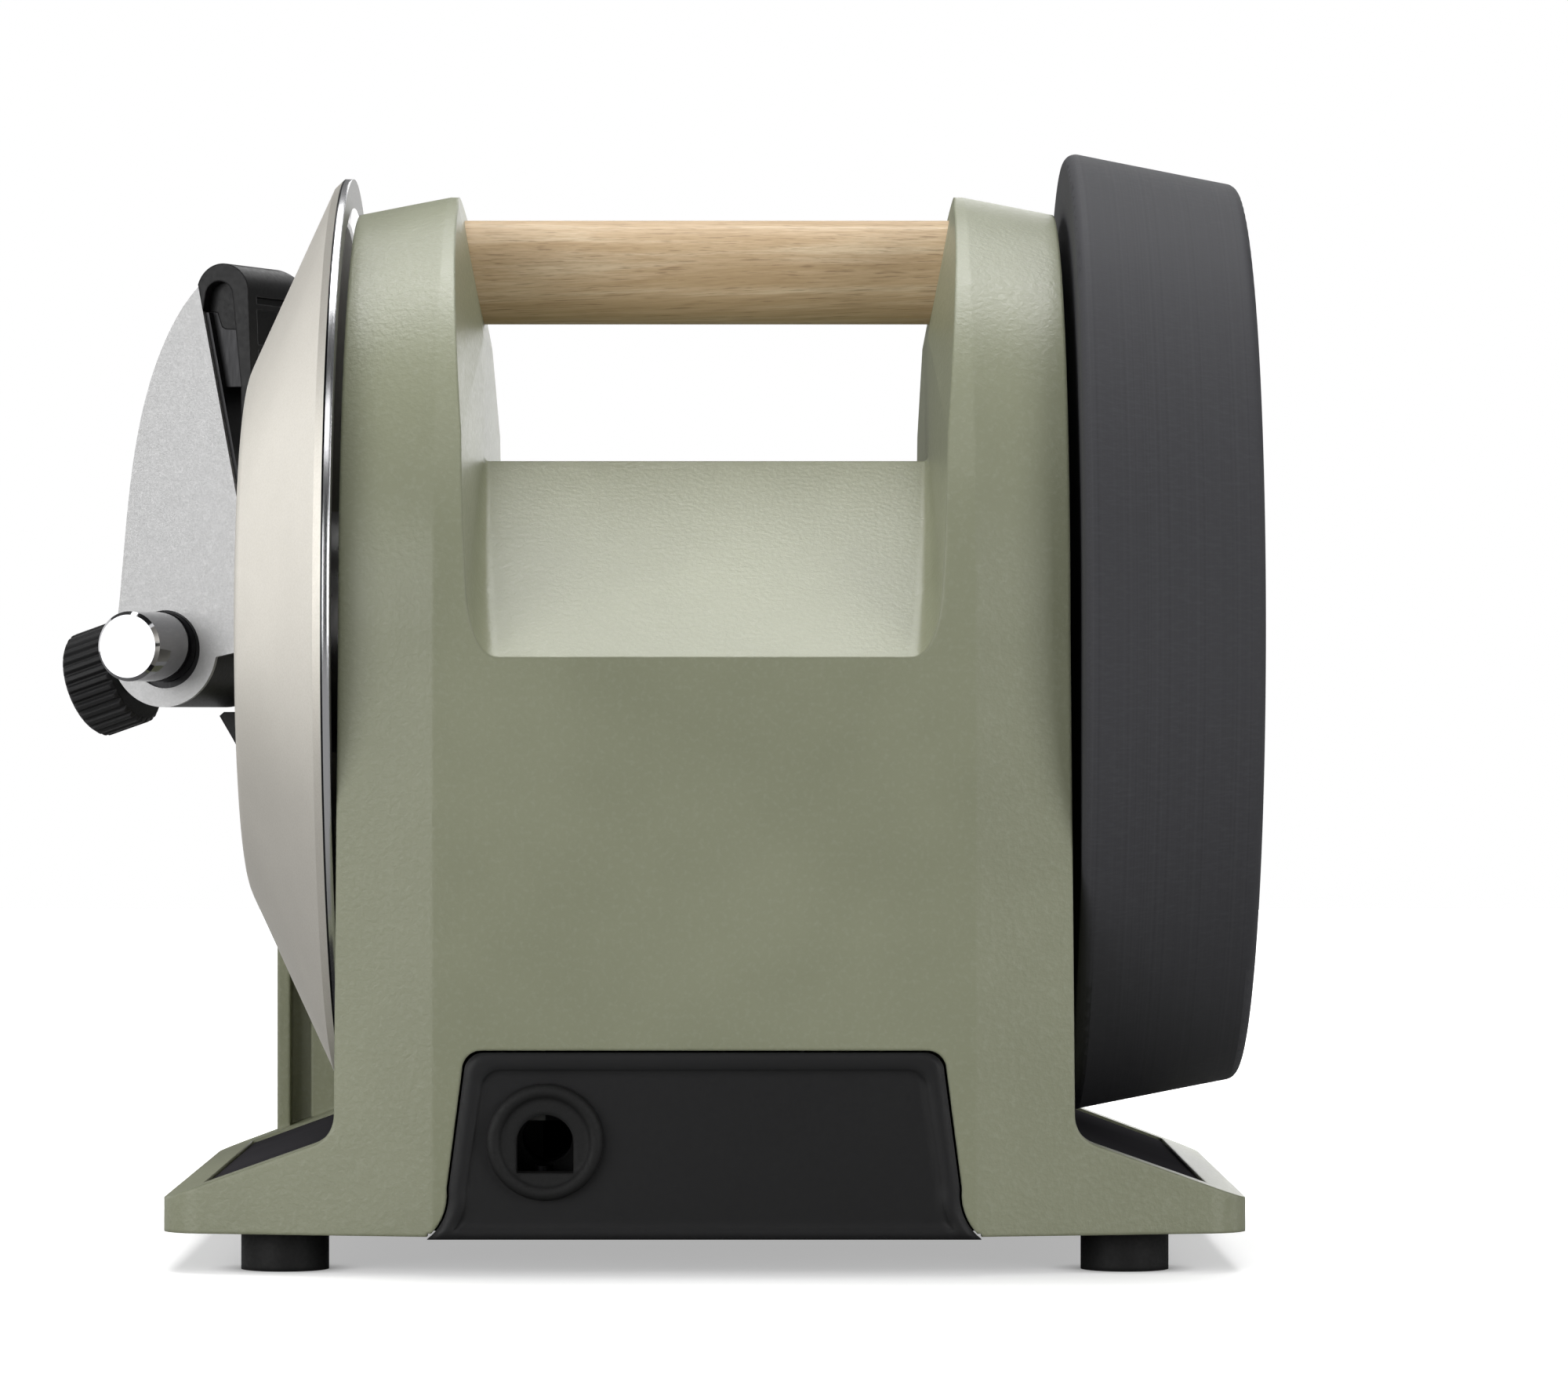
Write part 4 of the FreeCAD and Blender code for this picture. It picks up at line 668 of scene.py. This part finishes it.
# Shop finishes, each with what it gives the eye
MATERIALS = {
    "powder_coated_casting": powder_coated_casting(),
    "oiled_oak": oiled_oak(),
    "diamond_plated_steel": diamond_plated_steel(),
    "honing_composite": honing_composite(),
    "blasted_aluminium": blasted_aluminium(),
    # Glass-filled nylon: near black, a fine even grain that takes the shine off
    "grained_nylon": moulded(
        "grained_nylon", "#151516", "#19191a", rough=(0.42, 0.56), grain=0.45, depth=0.03,
        shine=0.25,
    ),
    # The same nylon on the covers, whose broad soft edges catch the light from above
    "cover_nylon": moulded(
        "cover_nylon", "#161617", "#1a1a1b", rough=(0.36, 0.46), grain=0.45, depth=0.03,
        shine=0.35, edge=2.2,
    ),
    # Moulded phenolic: charcoal, half matt
    "phenolic": moulded(
        "phenolic", "#1d1d1e", "#212122", rough=(0.45, 0.58), grain=0.45, depth=0.02, shine=0.3
    ),
    # Polished ABS: near black with soft streaks of light on its rounds
    "glossy_abs": moulded(
        "glossy_abs", "#101011", "#141415", rough=(0.3, 0.42), grain=0.8, depth=0.01, shine=0.2
    ),
    # Moulded rubber: dull black, hardly any highlight
    "black_rubber": moulded(
        "black_rubber", "#131313", "#171717", rough=(0.55, 0.7), grain=0.6, depth=0.02,
        shine=0.3, edge=1.2,
    ),
    # Adhesive rubber sheet: smooth charcoal, matt even at a flat angle
    "smooth_rubber": moulded(
        "smooth_rubber", "#353437", "#3b3a3d", rough=(0.5, 0.6), grain=0.6, depth=0.01, shine=0.0
    ),
    # Chrome plate: mirror gloss, darkened in colour as a painted reflection of the black parts
    # round it
    "chrome_plate": metal(
        "chrome_plate", "#8e8e90", "#949496", rough=(0.06, 0.09), marks=4.0, depth=0.001
    ),
    # Black anodised aluminium: dark grey satin, faint brushing upwards
    "black_anodised": metal(
        "black_anodised", "#343435", "#3c3c3d", rough=(0.38, 0.5), marks=0.4, depth=0.03,
        stretch=(1.0, 1.0, 0.1),
    ),
    # Machined steel: bright grey with fine tool marks round the shafts
    "machined_steel": metal(
        "machined_steel", "#a3a3a3", "#b0b0b0", rough=(0.25, 0.4), marks=0.5, depth=0.01,
        stretch=(1.0, 0.1, 0.1),
    ),
    # Black oxide: near black screws with a faint sheen
    "black_oxide": metal(
        "black_oxide", "#1b1b1c", "#232324", rough=(0.35, 0.5), marks=0.5, depth=0.01
    ),
    # Zinc plate: pale grey, slightly clouded
    "zinc_plate": metal(
        "zinc_plate", "#a8aaa6", "#b9bbb6", rough=(0.3, 0.45), marks=0.8, depth=0.01
    ),
    # Stacked sheet steel: dark grey with the sheets' edges as fine lines
    "sheet_stack": metal(
        "sheet_stack", "#5a5a5c", "#68686a", rough=(0.4, 0.6), marks=0.5, depth=0.05,
        stretch=(1.0, 0.02, 0.02),
    ),
    # Enamelled copper wire: reddish brown turns side by side
    "enamelled_copper": metal(
        "enamelled_copper", "#a85c2c", "#b96a38", rough=(0.25, 0.35), marks=0.6, depth=0.1,
        stretch=(0.1, 1.0, 1.0),
    ),
    # Sintered bronze: dull yellow brown, porous
    "sintered_bronze": metal(
        "sintered_bronze", "#8f7345", "#9d8152", rough=(0.4, 0.55), marks=0.3, depth=0.02
    ),
    # Natural acetal: milky off-white, half gloss
    "natural_acetal": moulded(
        "natural_acetal", "#d8d2c2", "#dfdacb", rough=(0.35, 0.5), grain=0.8, depth=0.01
    ),
    # Insulation of the leads: blue, half gloss
    "lead_insulation": moulded(
        "lead_insulation", "#24407a", "#2b4a88", rough=(0.35, 0.45), grain=0.8, depth=0.01
    ),
    # Moulded can of the capacitor: light grey, glossy
    "capacitor_can": moulded(
        "capacitor_can", "#c8c8c4", "#d0d0cc", rough=(0.3, 0.4), grain=0.8, depth=0.01
    ),
}

# The CAD nodes that have each finish
FINISH = {
    "powder_coated_casting": ["main_casting"],
    "oiled_oak": ["wooden_handle"],
    "grained_nylon": [
        "base_plate", "switch_body", "terminal_block", "cable_clamp", "cooling_fan",
    ],
    "cover_nylon": ["rear_cover", "front_cover"],
    "phenolic": ["locking_knob", "angle_scale"],
    "black_oxide": ["housing_screws"],
    "glossy_abs": ["knife_clip", "clip_insert", "switch_rocker"],
    "black_rubber": [
        "cable_bushing", "foot_rear_left", "foot_rear_right", "foot_front_left",
        "foot_front_right",
    ],
    "smooth_rubber": ["flange_inlay_left", "flange_inlay_right"],
    "diamond_plated_steel": ["diamond_wheel"],
    "honing_composite": ["honing_wheel"],
    "chrome_plate": ["guide_bar"],
    "blasted_aluminium": ["guide_plate_rear", "guide_plate_front", "honing_wheel_hub"],
    "black_anodised": ["guide_body"],
    "machined_steel": [
        "main_shaft", "rotor_shaft", "idler_pin", "wheel_flange_left", "knob_stud",
        "output_gear_pin", "motor_pinion",
    ],
    "zinc_plate": [
        "foot_screws", "handle_screws", "motor_bolts", "motor_bracket",
        "bracket_screws", "wheel_bolts", "guide_bar_screw", "guide_plate_screws",
        "capacitor_clip", "idler_clip", "end_bell_left", "end_bell_right",
    ],
    "sheet_stack": ["stator_core", "rotor_core"],
    "enamelled_copper": ["stator_windings"],
    "sintered_bronze": ["motor_bushes", "shaft_bushes"],
    "natural_acetal": ["idler_gear", "output_gear"],
    "lead_insulation": ["internal_leads"],
    "capacitor_can": ["capacitor"],
}
for finish, names in FINISH.items():
    for name in names:
        item = nodes[name]
        item.data.materials.clear()
        item.data.materials.append(MATERIALS[finish])


def studio_floor():
    # White paper. For the camera it glows by itself, less near the object, so that the object's
    # soft shadow stays, and a painted contact shadow darkens it where a foot touches it. Other
    # rays see a dim bounce.
    contact_shadow_reach, shadow_from, shadow_to, shadow_glow = 6, 180.0, 600.0, 0.42
    paper_white, dim_grey, half_width = (0.95, 0.95, 0.95, 1.0), (0.3, 0.3, 0.3, 1.0), 2.0
    made, tree, where = new_material("studio_floor")
    path = add(tree, "ShaderNodeLightPath")
    # Painted contact shadow: ambient occlusion darkens the paper and its glow close to the feet
    painted_contact_shadow = add(
        tree,
        "ShaderNodeAmbientOcclusion",
        {"Color": paper_white, "Distance": contact_shadow_reach * MM},
        samples=8,
    )
    paper = add(tree, "ShaderNodeBsdfDiffuse", {"Color": painted_contact_shadow.outputs["Color"]})
    dim = add(tree, "ShaderNodeBsdfDiffuse", {"Color": dim_grey})
    far = add(tree, "ShaderNodeVectorMath", {0: where}, operation="LENGTH")
    lift = add(
        tree,
        "ShaderNodeMapRange",
        {
            "Value": far.outputs["Value"],
            "From Min": shadow_from,
            "From Max": shadow_to,
            "To Min": shadow_glow,
            "To Max": 1.0,
        },
    )
    kept = add(
        tree,
        "ShaderNodeMath",
        {0: lift.outputs["Result"], 1: painted_contact_shadow.outputs["AO"]},
        operation="MULTIPLY",
    )
    glow = add(tree, "ShaderNodeEmission", {"Strength": kept.outputs[0]})
    both = add(tree, "ShaderNodeAddShader", {0: paper.outputs[0], 1: glow.outputs[0]})
    seen = add(
        tree,
        "ShaderNodeMixShader",
        {0: path.outputs["Is Camera Ray"], 1: dim.outputs[0], 2: both.outputs[0]},
    )
    add(tree, "ShaderNodeOutputMaterial", {"Surface": seen.outputs[0]})
    mesh = bpy.data.meshes.new("studio_floor")
    form = bmesh.new()
    bmesh.ops.create_grid(form, x_segments=1, y_segments=1, size=half_width)
    form.to_mesh(mesh)
    form.free()
    mesh.materials.append(made)
    item = bpy.data.objects.new("studio_floor", mesh)
    bpy.context.scene.collection.objects.link(item)


def studio_air():
    # White for the camera; in reflections dark behind the camera and dim behind the object.
    dark, dim, turn = 0.04, 0.15, 0.15
    world = bpy.data.worlds.new("studio_air")
    world.use_nodes = True
    tree = world.node_tree
    tree.nodes.clear()
    path = add(tree, "ShaderNodeLightPath")
    way = add(tree, "ShaderNodeTexCoord")
    split = add(tree, "ShaderNodeSeparateXYZ", {0: way.outputs["Generated"]})
    ahead = add(
        tree,
        "ShaderNodeMapRange",
        {
            "Value": split.outputs["Y"],
            "From Min": -turn,
            "From Max": turn,
            "To Min": dark,
            "To Max": dim,
        },
    )
    glossy = add(
        tree,
        "ShaderNodeMath",
        {0: path.outputs["Is Glossy Ray"], 1: path.outputs["Is Transmission Ray"]},
        operation="MAXIMUM",
    )
    soft = add(
        tree,
        "ShaderNodeMix",
        {"Factor": glossy.outputs[0], "A": dark, "B": ahead.outputs["Result"]},
    )
    strength = add(
        tree,
        "ShaderNodeMix",
        {"Factor": path.outputs["Is Camera Ray"], "A": soft.outputs[0], "B": 1.0},
    )
    sky = add(
        tree,
        "ShaderNodeBackground",
        {"Color": (1.0, 1.0, 1.0, 1.0), "Strength": strength.outputs[0]},
    )
    add(tree, "ShaderNodeOutputWorld", {"Surface": sky.outputs["Background"]})
    bpy.context.scene.world = world


def softbox(name, place, width, height, radiance):
    """A rectangular soft light of that radiance that looks at the object."""
    data = bpy.data.lights.new(name, "AREA")
    data.shape = "RECTANGLE"
    data.size = width
    data.size_y = height
    data.energy = radiance * math.pi * width * height
    item = bpy.data.objects.new(name, data)
    item.location = place
    aim = Vector(SOFTBOX_AIM) - Vector(place)
    item.rotation_euler = aim.to_track_quat("-Z", "Y").to_euler()
    bpy.context.scene.collection.objects.link(item)


def camera():
    """The camera, level and looking along +Y, and the plain view transform."""
    data = bpy.data.cameras.new("camera")
    data.sensor_width = CAMERA_SENSOR
    data.lens = CAMERA_LENS
    data.shift_x, data.shift_y = CAMERA_SHIFT
    data.clip_start, data.clip_end = CAMERA_REACH
    item = bpy.data.objects.new("camera", data)
    item.location = [v * MM for v in CAMERA_PLACE]
    item.rotation_euler = (math.radians(90.0), 0.0, 0.0)
    bpy.context.scene.collection.objects.link(item)
    bpy.context.scene.camera = item
    bpy.context.scene.view_settings.view_transform = "Standard"


studio_floor()
studio_air()
for name, shape in SOFTBOXES.items():
    softbox(name, *shape)
camera()
